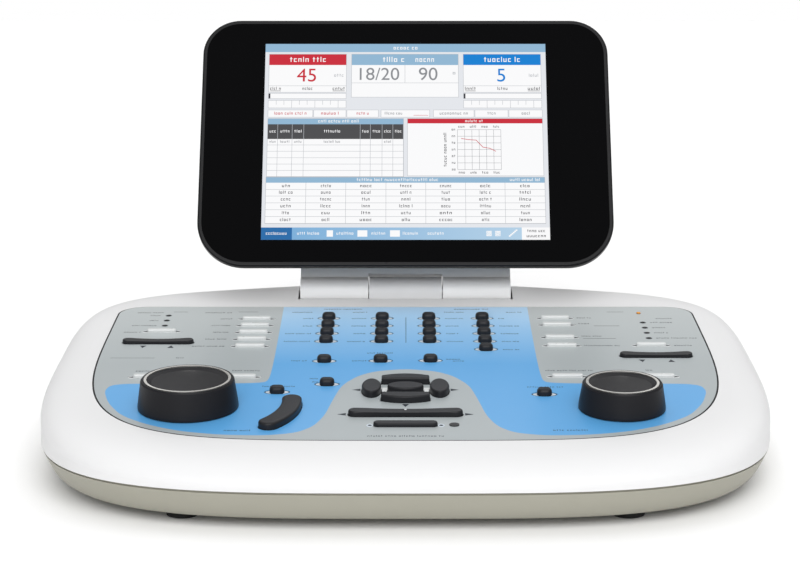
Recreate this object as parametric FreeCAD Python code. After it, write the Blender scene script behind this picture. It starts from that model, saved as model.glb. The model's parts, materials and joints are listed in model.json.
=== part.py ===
import FreeCAD
import Part
import math
import os

# A desktop audiometer: a low two-part housing with a sloping control panel, two dials,
# rows of keys, and a touch display on a two-axis arm. Sizes are in millimetres and degrees.
# x runs to the right, y to the rear from the housing's widest line, z up from the table.

V = FreeCAD.Vector
X_AXIS = V(1, 0, 0)
Y_AXIS = V(0, 1, 0)
Z_AXIS = V(0, 0, 1)

# Housing
HALF_WIDTH = 237.0
FRONT_REACH = 250.0
REAR_REACH = 165.0
FRONT_SQUARE = 3.6
REAR_SQUARE = 3.0
WALL = 2.8
SEAM_Z = 25.0
SEAM_GAP = 0.5
COVER_LIP = 7.0
FOOT_HEIGHT = 6.0
HULL_TUCK = 13.0
SEAM_GROOVE = 0.9
SEAM_GROOVE_HEIGHT = 0.8
EDGE_DROP = 7.6
EDGE_ROUND = 5.0
HUMP_HEIGHT = 5.0
HUMP_HALF_WIDTH = 105.0

# Control panel, measured along its slope
PANEL_TILT = 5.4
PANEL_FRONT_Z = 44.0
PANEL_HALF_WIDTH = 207.0
PANEL_BELT = 201.4
PANEL_BOW = 265.0
PANEL_DEPTH = 286.8
PANEL_CORNER = 18.0
PANEL_SQUARE = 4.35
DECK_MARGIN = 8.5
DECK_SQUARE = 3.65
DECK_REAR_SQUARE = 6.0
OVERLAY_THICK = 0.6
PLATE_THICK = 2.0
SEAL_WIDTH = 1.1
SEAL_DROP = 0.3
LEDGE_WIDTH = 5.0
LEDGE_THICK = 2.6

# Keys
KEY_TRAVEL = 1.2
KEY_GAP = 0.45
FLANGE_GAP = 0.3
FLANGE_THICK = 1.0
FLANGE_REACH = 1.1
MAT_CLEARANCE = 0.5
MAT_THICK = 1.0
BOARD_THICK = 1.6
BOARD_INSET = 14.0

ROUND_KEY = (9.5, 7.9)
ROUND_KEY_CORNER = 3.2
ROUND_KEY_HEIGHT = 4.3
ROUND_KEY_HOLE = (16.7, 9.4)
COLUMN_X = {"key_column_1": -55.0, "key_column_2": -16.7, "key_column_3": 16.7, "key_column_4": 55.0}
COLUMN_COUNT = {"key_column_1": 4, "key_column_2": 4, "key_column_3": 4, "key_column_4": 5}
COLUMN_TOP_W = 258.0
COLUMN_PITCH = 18.75
SELECT_KEYS = ((-54.5, 156.5), (-16.7, 157.0), (16.8, 157.5))
SINGLE_KEYS = {"talk_over_key": (-50.8, 106.8), "left_tone_key": (-82.2, 90.8), "right_tone_key": (88.6, 86.2)}

SLIM_KEY = (20.6, 4.5)
SLIM_KEY_HEIGHT = 2.0
SLIM_HOLE = (27.5, 5.4)
LEFT_SLIM = ((-106.8, 256.2), (-106.8, 239.6), (-106.8, 223.0), (-106.8, 206.4), (-106.8, 189.8),
             (-171.3, 225.0), (-168.0, 121.5), (-108.0, 121.5))
RIGHT_SLIM = ((107.4, 258.0), (107.4, 241.0), (107.4, 210.5), (107.4, 191.0), (169.0, 192.0),
              (166.0, 122.5), (106.0, 122.5))

ROCKER_TILT = 2.2
ROCKER_GAP = 0.6
ROCKER_LUG = 8.0
ROCKER_DISH = 0.9
ROCKERS = {"left_rocker": (-170.8, 198.5, 49.0, 8.0, 2.6), "right_rocker": (169.4, 167.5, 49.0, 8.0, 2.6),
           "centre_rocker": (0.0, 46.4, 71.0, 8.8, 3.5)}
TALK_BAR = (0.0, 26.5, 39.2, 6.4, 2.5)

CRESCENT_CENTRE = (-138.0, 62.0)
CRESCENT_RADIUS = 66.75
CRESCENT_WIDTH = 12.5
CRESCENT_SWEEP = (-35.0, 5.0)
CRESCENT_HEIGHT = 4.5
CRESCENT_REACH = 0.6

PAD_CENTRE = (0.0, 92.5)
PAD_HALF = (28.0, 24.0)
PAD_ARC_HALF_WIDTH = 15.5
PAD_ARC_DEPTH = 10.5
PAD_SIDE_HALF = (6.2, 13.5)
PAD_BUTTON_HALF = (11.6, 7.4)
PAD_HEIGHT = 4.5

# Dials
LEFT_DIAL = (-136.0, 61.0, 31.5, 19.0)
RIGHT_DIAL = (135.2, 58.5, 27.2, 17.5)
DIAL_LIFT = 0.6
DIAL_TAPER = 2.2
DIAL_RING = 1.6
DIAL_DISH = 2.0
SHAFT_RADIUS = 3.0
SHAFT_CLEARANCE = 0.06
BUSH_RADIUS = 4.6
ENCODER_SIDE = 14.0
ENCODER_DEPTH = 9.0

# Lenses and microphone
LENS_RADIUS = 1.6
LENS_PROUD = 0.3
LENS_PLACES = ((-170.8, 264.5), (-170.8, 252.0), (-170.8, 239.3), (169.3, 247.0), (169.3, 234.2),
               (169.3, 221.6), (169.3, 208.9), (168.7, 270.2))
MICROPHONE = (29.8, 27.0)
MICROPHONE_RADIUS = 3.1

# Feet, bosses and screws
FOOT_RADIUS = 10.0
FEET = ((-133.0, -207.0), (133.0, -207.0), (-150.0, 105.0), (150.0, 105.0))
CASE_SCREWS = ((-185.0, -120.0), (185.0, -120.0), (-205.0, 60.0), (205.0, 60.0), (-60.0, -228.0), (60.0, -228.0))
BOSS_RADIUS = 5.5
BOSS_DROP = 2.0
BOSS_GAP = 0.2
SCREW_RADIUS = 1.5
SCREW_HEAD_RADIUS = 3.0
SCREW_HEAD = 2.0
SCREW_CLEARANCE = 0.15
SCREW_GRIP = 9.0
BOARD_SCREWS = ((-150.0, 262.0), (150.0, 262.0), (-185.0, 150.0), (185.0, 150.0), (-80.0, 150.0), (80.0, 150.0),
                (-60.0, 16.0), (60.0, 16.0))
POST_RADIUS = 3.5

# Inner board and speaker
MAIN_BOARD = (190.0, 90.0)
MAIN_BOARD_Y = 40.0
MAIN_BOARD_Z = 16.0
SPEAKER = (87.0 - HALF_WIDTH, -40.0)
SPEAKER_RADIUS = 22.0
SPEAKER_HEIGHT = 14.0

# Connector bay in the rear wall
BAY_HALF_WIDTH = 98.0
BAY_Z = (33.0, 59.0)
BAY_SEAT = 5.0
BAY_PLATE_Y = 156.5
BAY_PLATE_THICK = 2.0
JACK_X = (-34.0, -8.0, 18.0, 44.0)
JACK_BORE = 3.25
JACK_NUT_RADIUS = 5.6
JACK_PROUD = 2.4
JACK_DEPTH = 14.0
JACK_BODY = 12.0
INLET_X = -60.0
INLET_BORE = 2.8
INLET_NUT_RADIUS = 5.0
USB_X = (68.0, 84.0)
USB_MOUTH = (5.2, 12.8)
USB_SHELL = 0.6
USB_DEPTH = 11.0
SWITCH_X = -84.0
SWITCH = (12.0, 19.0)
SWITCH_GAP = 0.7
SWITCH_PROUD = 1.8
SWITCH_DEPTH = 6.0
SWITCH_PIVOT = 3.0
SWITCH_THROW = 5.0

# Display, measured from the lower edge of the visible screen
LEAN = 29.7
SCREEN_Y = 88.9
SCREEN_Z = 120.3
SCREEN = (211.2, 158.4)
BEZEL_HALF_WIDTH = 152.6
BEZEL_BELOW = 20.4
BEZEL_ABOVE = 19.9
BEZEL_TOP_CORNER = 28.0
BEZEL_LOW_CORNER = 35.0
GLASS_INSET = 3.0
GLASS_THICK = 1.4
WINDOW_GAP = 0.15
LCD_RIM = 6.0
LCD_THICK = 5.6
FRAME_DEPTH = 5.0
FRAME_WIDTH = 13.0
FRAME_ROUND = 1.2
DISPLAY_DEPTH = 26.0
BACK_TAPER = 16.0
BACK_ROUND = 5.0
BACK_WALL = 2.4
DISPLAY_SCREW_INSET = 9.0
DISPLAY_SCREW_SEAT = 10.0
DISPLAY_SCREW_TIP = 2.6
DISPLAY_BOARD = (150.0, 110.0)
DISPLAY_BOARD_DEPTH = 12.0

# Display arm and hinges
HINGE_Y = 116.0
HINGE_Z = 77.0
KNUCKLE_RADIUS = 11.0
KNUCKLE_GAP = 1.0
ARM_HALF_WIDTH = 78.0
BLOCK_HALF_WIDTH = 27.0
HINGE_SIDE_GAP = 0.6
SLOT_END_GAP = 1.0
SLOT_REAR_GAP = 3.0
ARM_THICK = 10.0
ARM_COVER_THICK = 1.5
PIN_RADIUS = 3.0
PIN_CLEARANCE = 0.06
PIN_LENGTH = 68.0
PIN_COVER = 2.0
BRACKET_Z = 52.0
BRACKET_THICK = 3.0
BRACKET_HALF_WIDTH = 100.0
TILT_UP = 60.0
TILT_BEHIND = 10.0
TILT_BARREL = 7.0
TILT_HALF_WIDTH = 25.0
TILT_PLATE = 3.0
TILT_PLATE_HALF = 25.0

# Heights along the panel's normal, from the overlay's face down
STACK = OVERLAY_THICK + PLATE_THICK
FLANGE_TOP = -(STACK + FLANGE_GAP)
FLANGE_LOW = FLANGE_TOP - FLANGE_THICK
MAT_TOP = FLANGE_LOW - KEY_TRAVEL - MAT_CLEARANCE
BOARD_TOP = MAT_TOP - MAT_THICK
BOARD_LOW = BOARD_TOP - BOARD_THICK

# Reach of the tools that cut right through
CUT = 40.0
COVER_TOP = 120.0

PARTS = {}


# ---------- shape helpers ----------

def box(low, high):
    return Part.makeBox(high[0] - low[0], high[1] - low[1], high[2] - low[2], V(*low))


def prism(face, low, high):
    """A flat face drawn at height 0, raised from low to high."""
    return face.translated(V(0, 0, low)).extrude(V(0, 0, high - low))


def pill_face(x, y, length, depth):
    """A bar with fully rounded ends."""
    r = depth / 2
    s = length / 2 - r
    right = Part.Arc(V(x + s, y - r, 0), V(x + s + r, y, 0), V(x + s, y + r, 0)).toShape()
    left = Part.Arc(V(x - s, y + r, 0), V(x - s - r, y, 0), V(x - s, y - r, 0)).toShape()
    low = Part.makeLine(V(x - s, y - r, 0), V(x + s, y - r, 0))
    high = Part.makeLine(V(x + s, y + r, 0), V(x - s, y + r, 0))
    return Part.Face(Part.Wire([low, right, high, left]))


def oval_face(x, y, half_x, half_y):
    if half_x >= half_y:
        curve = Part.Ellipse(V(x, y, 0), half_x, half_y)
    else:
        curve = Part.Ellipse(V(x, y + half_y, 0), V(x - half_x, y, 0), V(x, y, 0))
    return Part.Face(Part.Wire(curve.toShape()))


def disc_face(x, y, radius):
    return Part.Face(Part.Wire(Part.makeCircle(radius, V(x, y, 0))))


def rounded_face(x0, x1, y0, y1, low_corner, high_corner):
    """A rectangle with one radius on its two low corners and one on its two high corners."""
    k = 1 - math.sqrt(0.5)
    a, b = low_corner, high_corner
    lines = [
        Part.makeLine(V(x0 + a, y0, 0), V(x1 - a, y0, 0)),
        Part.Arc(V(x1 - a, y0, 0), V(x1 - k * a, y0 + k * a, 0), V(x1, y0 + a, 0)).toShape(),
        Part.makeLine(V(x1, y0 + a, 0), V(x1, y1 - b, 0)),
        Part.Arc(V(x1, y1 - b, 0), V(x1 - k * b, y1 - k * b, 0), V(x1 - b, y1, 0)).toShape(),
        Part.makeLine(V(x1 - b, y1, 0), V(x0 + b, y1, 0)),
        Part.Arc(V(x0 + b, y1, 0), V(x0 + k * b, y1 - k * b, 0), V(x0, y1 - b, 0)).toShape(),
        Part.makeLine(V(x0, y1 - b, 0), V(x0, y0 + a, 0)),
        Part.Arc(V(x0, y0 + a, 0), V(x0 + k * a, y0 + k * a, 0), V(x0 + a, y0, 0)).toShape(),
    ]
    return Part.Face(Part.Wire(lines))


def fillet_at(shape, height, radius):
    """Round the edges that lie flat at one height."""
    edges = [e for e in shape.Edges if abs(e.BoundBox.ZMin - height) < 0.001 and e.BoundBox.ZLength < 0.001]
    return shape.makeFillet(radius, edges)


def joined(shapes):
    shapes = list(shapes)
    return shapes[0].fuse(shapes[1:]).removeSplitter() if len(shapes) > 1 else shapes[0]


def cut_in_turn(shape, tools):
    """One cut after the other, which a large shell bears better than all at once."""
    for tool in tools:
        shape = shape.cut(tool)
    return shape


def group(shapes):
    return Part.makeCompound(list(shapes))


def add(name, shape):
    PARTS[name] = shape


# ---------- placements ----------

def tilted(y, z, angle):
    """A placement at (0, y, z), turned about the x direction."""
    return FreeCAD.Placement(V(0, y, z), FreeCAD.Rotation(X_AXIS, angle))


PANEL_COS = math.cos(math.radians(PANEL_TILT))
PANEL_FRONT_Y = -PANEL_BELT * PANEL_COS
PANEL_PLACE = tilted(PANEL_FRONT_Y, PANEL_FRONT_Z, PANEL_TILT)
DISPLAY_PLACE = tilted(SCREEN_Y, SCREEN_Z, 90 - LEAN)
TILT_POINT = DISPLAY_PLACE.multVec(V(0, TILT_UP, -DISPLAY_DEPTH - TILT_BEHIND))
ARM_LENGTH = math.hypot(TILT_POINT.y - HINGE_Y, TILT_POINT.z - HINGE_Z)
ARM_ANGLE = math.degrees(math.atan2(TILT_POINT.z - HINGE_Z, TILT_POINT.y - HINGE_Y))
ARM_PLACE = tilted(HINGE_Y, HINGE_Z, ARM_ANGLE)


def placed(shape, placement):
    moved = shape.copy()
    moved.Placement = placement.multiply(shape.Placement)
    return moved


# ---------- housing shells ----------

def panel_z(y):
    return PANEL_FRONT_Z + (y - PANEL_FRONT_Y) * math.tan(math.radians(PANEL_TILT))


def ring_points(half, front, rear, front_square, rear_square, height):
    """Points round a squared oval, with their height given by height(x, y)."""
    count = 72
    points = []
    for i in range(count):
        turn = 2 * math.pi * i / count
        c, s = math.cos(turn), math.sin(turn)
        n = rear_square if s > 0 else front_square
        r = (abs(c) ** n + abs(s) ** n) ** (-1 / n)
        x, y = half * r * c, (rear if s > 0 else front) * r * s
        points.append(V(x, y, height(x, y)))
    return points


def closed_wire(points):
    curve = Part.BSplineCurve()
    curve.interpolate(points, True)
    return Part.Wire(curve.toShape())


def hump(x, y):
    """The soft rise of the deck round the display hinge."""
    start = (PANEL_DEPTH - PANEL_BELT) * PANEL_COS + DECK_MARGIN
    along = (y - start) / (REAR_REACH - start)
    if along <= 0 or along >= 1:
        return 0.0
    return HUMP_HEIGHT * math.sin(math.pi * along) ** 2 * math.exp(-(x / HUMP_HALF_WIDTH) ** 4)


def cover_form(inset, low):
    """The top cover's outer form, or with an inset its hollow, as a loft from its rim to the flat deck."""
    rim = (HALF_WIDTH, FRONT_REACH, REAR_REACH, FRONT_SQUARE, REAR_SQUARE)
    rear = (PANEL_DEPTH - PANEL_BELT) * PANEL_COS
    deck = (PANEL_HALF_WIDTH + DECK_MARGIN, PANEL_BELT * PANEL_COS + DECK_MARGIN, rear + DECK_MARGIN,
            DECK_SQUARE, DECK_REAR_SQUARE)

    def outline(share, height):
        size = [a + (b - a) * share for a, b in zip(rim, deck)]
        size = [size[0] - inset, size[1] - inset, size[2] - inset] + size[3:]
        return closed_wire(ring_points(*size, height))

    def skin(step):
        sunk = (EDGE_DROP + EDGE_ROUND) * (1 - step) ** 2 + inset
        return lambda x, y: panel_z(y) - sunk + hump(x, y * REAR_REACH / (REAR_REACH - inset))

    steps = 8
    foot = outline(0, lambda x, y: low)
    wires = [outline((i / steps) ** 2, skin(i / steps)) for i in range(steps + 1)]
    faces = Part.makeLoft([foot, wires[0]], False, True).Faces + Part.makeLoft(wires, False, False).Faces
    shell = Part.makeShell(faces + [Part.Face(foot), Part.Face(wires[-1])])
    shell.sewShape()
    form = Part.makeSolid(shell)
    if form.Volume < 0:
        form.reverse()
    return form


def hull_form(inset, low, high):
    """The bottom cover's form: it tucks in from the seam to its flat underside."""
    levels = ((low, 1.0), (low + 1.2, 0.8), (low + 0.45 * (high - low), 0.35), (high, 0.0))
    wires = []
    for z, share in levels:
        tuck = HULL_TUCK * share + inset
        wires.append(closed_wire(ring_points(HALF_WIDTH - tuck, FRONT_REACH - tuck, REAR_REACH - tuck,
                                             FRONT_SQUARE, REAR_SQUARE, lambda x, y, z=z: z)))
    return Part.makeLoft(wires, True, False)


def panel_face(grow):
    """The control panel's outline: a bowed front, straight rear edge and rounded rear corners."""
    half, front, rear = PANEL_HALF_WIDTH + grow, PANEL_BOW + grow, PANEL_DEPTH + grow
    corner = PANEL_CORNER + grow
    points = []
    steps = 48
    for i in range(steps + 1):
        turn = -math.pi * i / steps
        c, s = math.cos(turn), math.sin(turn)
        r = (abs(c) ** PANEL_SQUARE + abs(s) ** PANEL_SQUARE) ** (-1 / PANEL_SQUARE)
        points.append(V(half * r * c, PANEL_BOW + front * r * s, 0))
    bow = Part.BSplineCurve()
    bow.interpolate(points)
    k = corner * (1 - math.sqrt(0.5))
    left, right = points[-1], points[0]
    edges = [
        bow.toShape(),
        Part.makeLine(left, V(-half, rear - corner, 0)),
        Part.Arc(V(-half, rear - corner, 0), V(k - half, rear - k, 0), V(corner - half, rear, 0)).toShape(),
        Part.makeLine(V(corner - half, rear, 0), V(half - corner, rear, 0)),
        Part.Arc(V(half - corner, rear, 0), V(half - k, rear - k, 0), V(half, rear - corner, 0)).toShape(),
        Part.makeLine(V(half, rear - corner, 0), right),
    ]
    return Part.Face(Part.Wire(edges))


def screw_post(x, y, radius, low, high):
    return Part.makeCylinder(radius, high - low, V(x, y, low))


def top_cover():
    ledge = prism(panel_face(DECK_MARGIN - 2), -STACK - LEDGE_THICK, -WALL / 2)
    ledge = placed(ledge.cut(prism(panel_face(-LEDGE_WIDTH), -CUT, CUT)), PANEL_PLACE)
    posts = [screw_post(x, y, BOSS_RADIUS - 1, SEAM_Z - BOSS_DROP, COVER_TOP) for x, y in CASE_SCREWS]
    seat = box((-BAY_HALF_WIDTH - BAY_SEAT, BAY_PLATE_Y, BAY_Z[0] - BAY_SEAT),
               (BAY_HALF_WIDTH + BAY_SEAT, REAR_REACH, BAY_Z[1] + BAY_SEAT))
    hollow = cut_in_turn(cover_form(WALL, SEAM_Z - COVER_LIP), [ledge, seat, posts])
    opening = placed(prism(panel_face(SEAL_WIDTH), -STACK, CUT), PANEL_PLACE)
    well = placed(prism(panel_face(-LEDGE_WIDTH), -CUT, 0), PANEL_PLACE)
    slot_half = ARM_HALF_WIDTH + HINGE_SIDE_GAP + SLOT_END_GAP
    slot_reach = KNUCKLE_RADIUS + KNUCKLE_GAP
    slot = box((-slot_half, HINGE_Y - slot_reach, BRACKET_Z + BRACKET_THICK),
               (slot_half, HINGE_Y + slot_reach + SLOT_REAR_GAP, COVER_TOP))
    bay = box((-BAY_HALF_WIDTH, BAY_PLATE_Y - 1, BAY_Z[0]), (BAY_HALF_WIDTH, REAR_REACH + 5, BAY_Z[1]))
    holes = [screw_post(x, y, SCREW_RADIUS + SCREW_CLEARANCE, SEAM_Z - BOSS_DROP - 1, SEAM_Z + SCREW_GRIP)
             for x, y in CASE_SCREWS]
    return cut_in_turn(cover_form(0, SEAM_Z), [hollow, opening, well, [slot, bay] + holes])


def bottom_cover():
    floor = FOOT_HEIGHT + WALL
    seat_z = SEAM_Z - BOSS_DROP - BOSS_GAP
    rim_z = SEAM_Z - SEAM_GAP
    bosses = [screw_post(x, y, BOSS_RADIUS, FOOT_HEIGHT, seat_z) for x, y in CASE_SCREWS]
    bosses += [screw_post(x, y, POST_RADIUS, FOOT_HEIGHT, MAIN_BOARD_Z) for x, y in board_corners()]
    bosses += [screw_post(s * (BRACKET_HALF_WIDTH - 8), HINGE_Y, BOSS_RADIUS, FOOT_HEIGHT, BRACKET_Z)
               for s in (-1, 1)]
    hull = hull_form(0, FOOT_HEIGHT, rim_z)
    hollow = hull_form(WALL, floor, SEAM_Z + 3)
    drills = []
    for x, y in CASE_SCREWS:
        drills.append(screw_post(x, y, SCREW_RADIUS + SCREW_CLEARANCE, 0, SEAM_Z))
        drills.append(screw_post(x, y, SCREW_HEAD_RADIUS + SCREW_CLEARANCE, 0, FOOT_HEIGHT + SCREW_HEAD + 0.6))
    groove = hull_form(SEAM_GROOVE, FOOT_HEIGHT - 5, rim_z)
    wide = 2 * HALF_WIDTH
    rim = hull_form(-1, FOOT_HEIGHT, rim_z).cut(groove).common(
        box((-wide, -wide, rim_z - SEAM_GROOVE_HEIGHT), (wide, wide, SEAM_Z)))
    shell = hull.cut([hollow, rim])
    posts = [b.cut(drills) for b in bosses]
    return shell.fuse(posts).cut(drills)


def board_corners():
    half_x, half_y = MAIN_BOARD[0] / 2 - 6, MAIN_BOARD[1] / 2 - 6
    return [(sx * half_x, MAIN_BOARD_Y + sy * half_y) for sx in (-1, 1) for sy in (-1, 1)]


def case_screw(x, y):
    head_z = FOOT_HEIGHT + 0.6
    head = screw_post(x, y, SCREW_HEAD_RADIUS, head_z, head_z + SCREW_HEAD)
    slot = box((x - 0.4, y - 2, head_z - 1), (x + 0.4, y + 2, head_z + 0.8))
    return head.fuse(screw_post(x, y, SCREW_RADIUS, head_z, SEAM_Z + SCREW_GRIP - 1)).cut(slot)


def foot(x, y):
    pad = Part.makeCylinder(FOOT_RADIUS, FOOT_HEIGHT, V(x, y, 0))
    return fillet_at(pad, 0, 1.2)


# ---------- keys ----------

def key(cap, flange, height, crown):
    """A cap that rises through the panel from a retaining flange under the plate."""
    body = prism(cap, FLANGE_TOP, height)
    body = fillet_at(body, height, crown)
    return body.fuse(prism(flange, FLANGE_LOW, FLANGE_TOP))


def round_key(x, w):
    cap = rounded_face(x - ROUND_KEY[0] / 2, x + ROUND_KEY[0] / 2, w - ROUND_KEY[1] / 2, w + ROUND_KEY[1] / 2,
                       ROUND_KEY_CORNER, ROUND_KEY_CORNER)
    flange = oval_face(x, w, ROUND_KEY_HOLE[0] / 2 + FLANGE_REACH - 0.4, ROUND_KEY_HOLE[1] / 2 + FLANGE_REACH - 0.4)
    return key(cap, flange, ROUND_KEY_HEIGHT, ROUND_KEY_CORNER - 0.8)


def round_hole(x, w):
    return oval_face(x, w, ROUND_KEY_HOLE[0] / 2, ROUND_KEY_HOLE[1] / 2)


def slim_key(x, w):
    flange = pill_face(x, w, SLIM_HOLE[0] + FLANGE_REACH, SLIM_HOLE[1] + FLANGE_REACH)
    return key(pill_face(x, w, *SLIM_KEY), flange, SLIM_KEY_HEIGHT, 1.0)


def slim_hole(x, w):
    return pill_face(x, w, *SLIM_HOLE)


def rocker(x, w, length, depth, height):
    """A long two-way key, dished in the middle of its top and waisted in plan."""
    body = fillet_at(prism(pill_face(x, w, length, depth), FLANGE_TOP, height), height, min(height, depth) * 0.4)
    radius = length ** 2 / (8 * ROCKER_DISH)
    dish = Part.makeCylinder(radius, 2 * depth, V(x, w - depth, height + radius - ROCKER_DISH), Y_AXIS)
    waist = length ** 2 / 8
    sides = [Part.makeCylinder(waist, CUT, V(x, w + s * (depth / 2 + waist - 0.8), -CUT / 2)) for s in (-1, 1)]
    lug_half = depth / 2 + ROCKER_GAP + FLANGE_REACH
    lug = box((x - ROCKER_LUG / 2, w - lug_half, FLANGE_LOW), (x + ROCKER_LUG / 2, w + lug_half, FLANGE_TOP))
    return body.cut([dish] + sides).fuse(lug)


def crescent_face(grow):
    """An arc-shaped bar with rounded ends."""
    cx, cy = CRESCENT_CENTRE
    inner, outer = CRESCENT_RADIUS - CRESCENT_WIDTH / 2 - grow, CRESCENT_RADIUS + CRESCENT_WIDTH / 2 + grow
    a, b = [math.radians(t) for t in CRESCENT_SWEEP]
    end = math.atan((CRESCENT_WIDTH / 2 + grow) / CRESCENT_RADIUS)

    def at(radius, turn):
        return V(cx + radius * math.cos(turn), cy + radius * math.sin(turn), 0)

    edges = [
        Part.Arc(at(outer, a), at(outer, (a + b) / 2), at(outer, b)).toShape(),
        Part.Arc(at(outer, b), at(CRESCENT_RADIUS, b + end), at(inner, b)).toShape(),
        Part.Arc(at(inner, b), at(inner, (a + b) / 2), at(inner, a)).toShape(),
        Part.Arc(at(inner, a), at(CRESCENT_RADIUS, a - end), at(outer, a)).toShape(),
    ]
    return Part.Face(Part.Wire(edges))


def pad_arc_face(turn, grow):
    """The upper (turn 0) or lower (turn 180) key of the arrow pad: an oval's end, cut off straight."""
    cx, cy = PAD_CENTRE
    half, depth = PAD_ARC_HALF_WIDTH + grow, PAD_HALF[1] + grow
    near = cy + PAD_HALF[1] - PAD_ARC_DEPTH - grow
    shoulder = cy + depth * math.sqrt(1 - (half / (PAD_HALF[0] + grow)) ** 2)
    left, right = V(cx - half, near, 0), V(cx + half, near, 0)
    high_left, high_right = V(cx - half, shoulder, 0), V(cx + half, shoulder, 0)
    face = Part.Face(Part.Wire([Part.makeLine(left, right), Part.makeLine(right, high_right),
                                Part.Arc(high_right, V(cx, cy + depth, 0), high_left).toShape(),
                                Part.makeLine(high_left, left)]))
    face.rotate(V(cx, cy, 0), Z_AXIS, turn)
    return face


def pad_faces(grow):
    cx, cy = PAD_CENTRE
    side = PAD_HALF[0] - PAD_SIDE_HALF[0]
    return {
        "pad_up_key": pad_arc_face(0, grow),
        "pad_down_key": pad_arc_face(180, grow),
        "pad_left_key": oval_face(cx - side, cy, PAD_SIDE_HALF[0] + grow, PAD_SIDE_HALF[1] + grow),
        "pad_right_key": oval_face(cx + side, cy, PAD_SIDE_HALF[0] + grow, PAD_SIDE_HALF[1] + grow),
        "pad_centre_key": oval_face(cx, cy, PAD_BUTTON_HALF[0] + grow, PAD_BUTTON_HALF[1] + grow),
    }


def make_keys():
    """Every key that rises through the panel."""
    for name, x in COLUMN_X.items():
        places = [(x, COLUMN_TOP_W - COLUMN_PITCH * i) for i in range(COLUMN_COUNT[name])]
        add(name, group(round_key(*p) for p in places))
    add("select_keys", group(round_key(*p) for p in SELECT_KEYS))
    for name, place in SINGLE_KEYS.items():
        add(name, round_key(*place))
    add("left_slim_keys", group(slim_key(*p) for p in LEFT_SLIM))
    add("right_slim_keys", group(slim_key(*p) for p in RIGHT_SLIM))
    for name, size in ROCKERS.items():
        add(name, rocker(*size))
    x, w, length, depth, height = TALK_BAR
    reach = KEY_GAP + FLANGE_REACH
    bar_flange = pill_face(x, w, length + 2 * reach, depth + 2 * reach)
    add("talk_bar", key(pill_face(x, w, length, depth), bar_flange, height, 1.0))
    add("crescent_key", key(crescent_face(0), crescent_face(KEY_GAP + CRESCENT_REACH), CRESCENT_HEIGHT, 1.8))
    caps, flanges = pad_faces(0), pad_faces(KEY_GAP + 0.5)
    for name, cap in caps.items():
        add(name, key(cap, flanges[name], PAD_HEIGHT, 1.2))


def key_holes():
    """The panel's holes for keys, lenses, dial bushes and the microphone."""
    faces = []
    for name, x in COLUMN_X.items():
        faces += [round_hole(x, COLUMN_TOP_W - COLUMN_PITCH * i) for i in range(COLUMN_COUNT[name])]
    faces += [round_hole(*p) for p in list(SELECT_KEYS) + list(SINGLE_KEYS.values())]
    faces += [slim_hole(*p) for p in LEFT_SLIM + RIGHT_SLIM]
    for x, w, length, depth, _ in ROCKERS.values():
        faces.append(pill_face(x, w, length + 2 * ROCKER_GAP, depth + 2 * ROCKER_GAP))
    x, w, length, depth, _ = TALK_BAR
    faces.append(pill_face(x, w, length + 2 * KEY_GAP, depth + 2 * KEY_GAP))
    faces.append(crescent_face(KEY_GAP))
    faces += pad_faces(KEY_GAP).values()
    faces += [disc_face(x, w, LENS_RADIUS) for x, w in LENS_PLACES]
    faces += [disc_face(dial[0], dial[1], BUSH_RADIUS + 0.2) for dial in (LEFT_DIAL, RIGHT_DIAL)]
    faces.append(disc_face(*MICROPHONE, MICROPHONE_RADIUS))
    return faces


def holed_sheet(grow, low, high):
    outline = panel_face(grow).OuterWire
    return prism(Part.Face([outline] + [face.OuterWire for face in key_holes()]), low, high)


# ---------- panel stack ----------

def panel_plate():
    """The stiff plate under the overlay, with the posts that carry the key board."""
    posts = [screw_post(x, w, POST_RADIUS, BOARD_TOP, -STACK) for x, w in BOARD_SCREWS]
    holes = [screw_post(x, w, SCREW_RADIUS + SCREW_CLEARANCE, BOARD_TOP - 1, -STACK - 1) for x, w in BOARD_SCREWS]
    return holed_sheet(0, -STACK, -OVERLAY_THICK).fuse(posts).cut(holes)


def board_screw(x, w):
    head = screw_post(x, w, SCREW_HEAD_RADIUS, BOARD_LOW - 1.2, BOARD_LOW)
    return head.fuse(screw_post(x, w, SCREW_RADIUS, BOARD_LOW, -STACK - 1.2))


def inner_sheet(low, high, post_gap):
    """A sheet behind the panel, clear of the posts, the encoders and the microphone."""
    drills = [screw_post(x, w, post_gap, -CUT, CUT) for x, w in BOARD_SCREWS]
    side = ENCODER_SIDE / 2 + 0.4
    for x, w, _, _ in (LEFT_DIAL, RIGHT_DIAL):
        drills.append(box((x - side, w - side, -CUT), (x + side, w + side, CUT)))
    return prism(panel_face(-BOARD_INSET), low, high).cut(drills)


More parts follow.
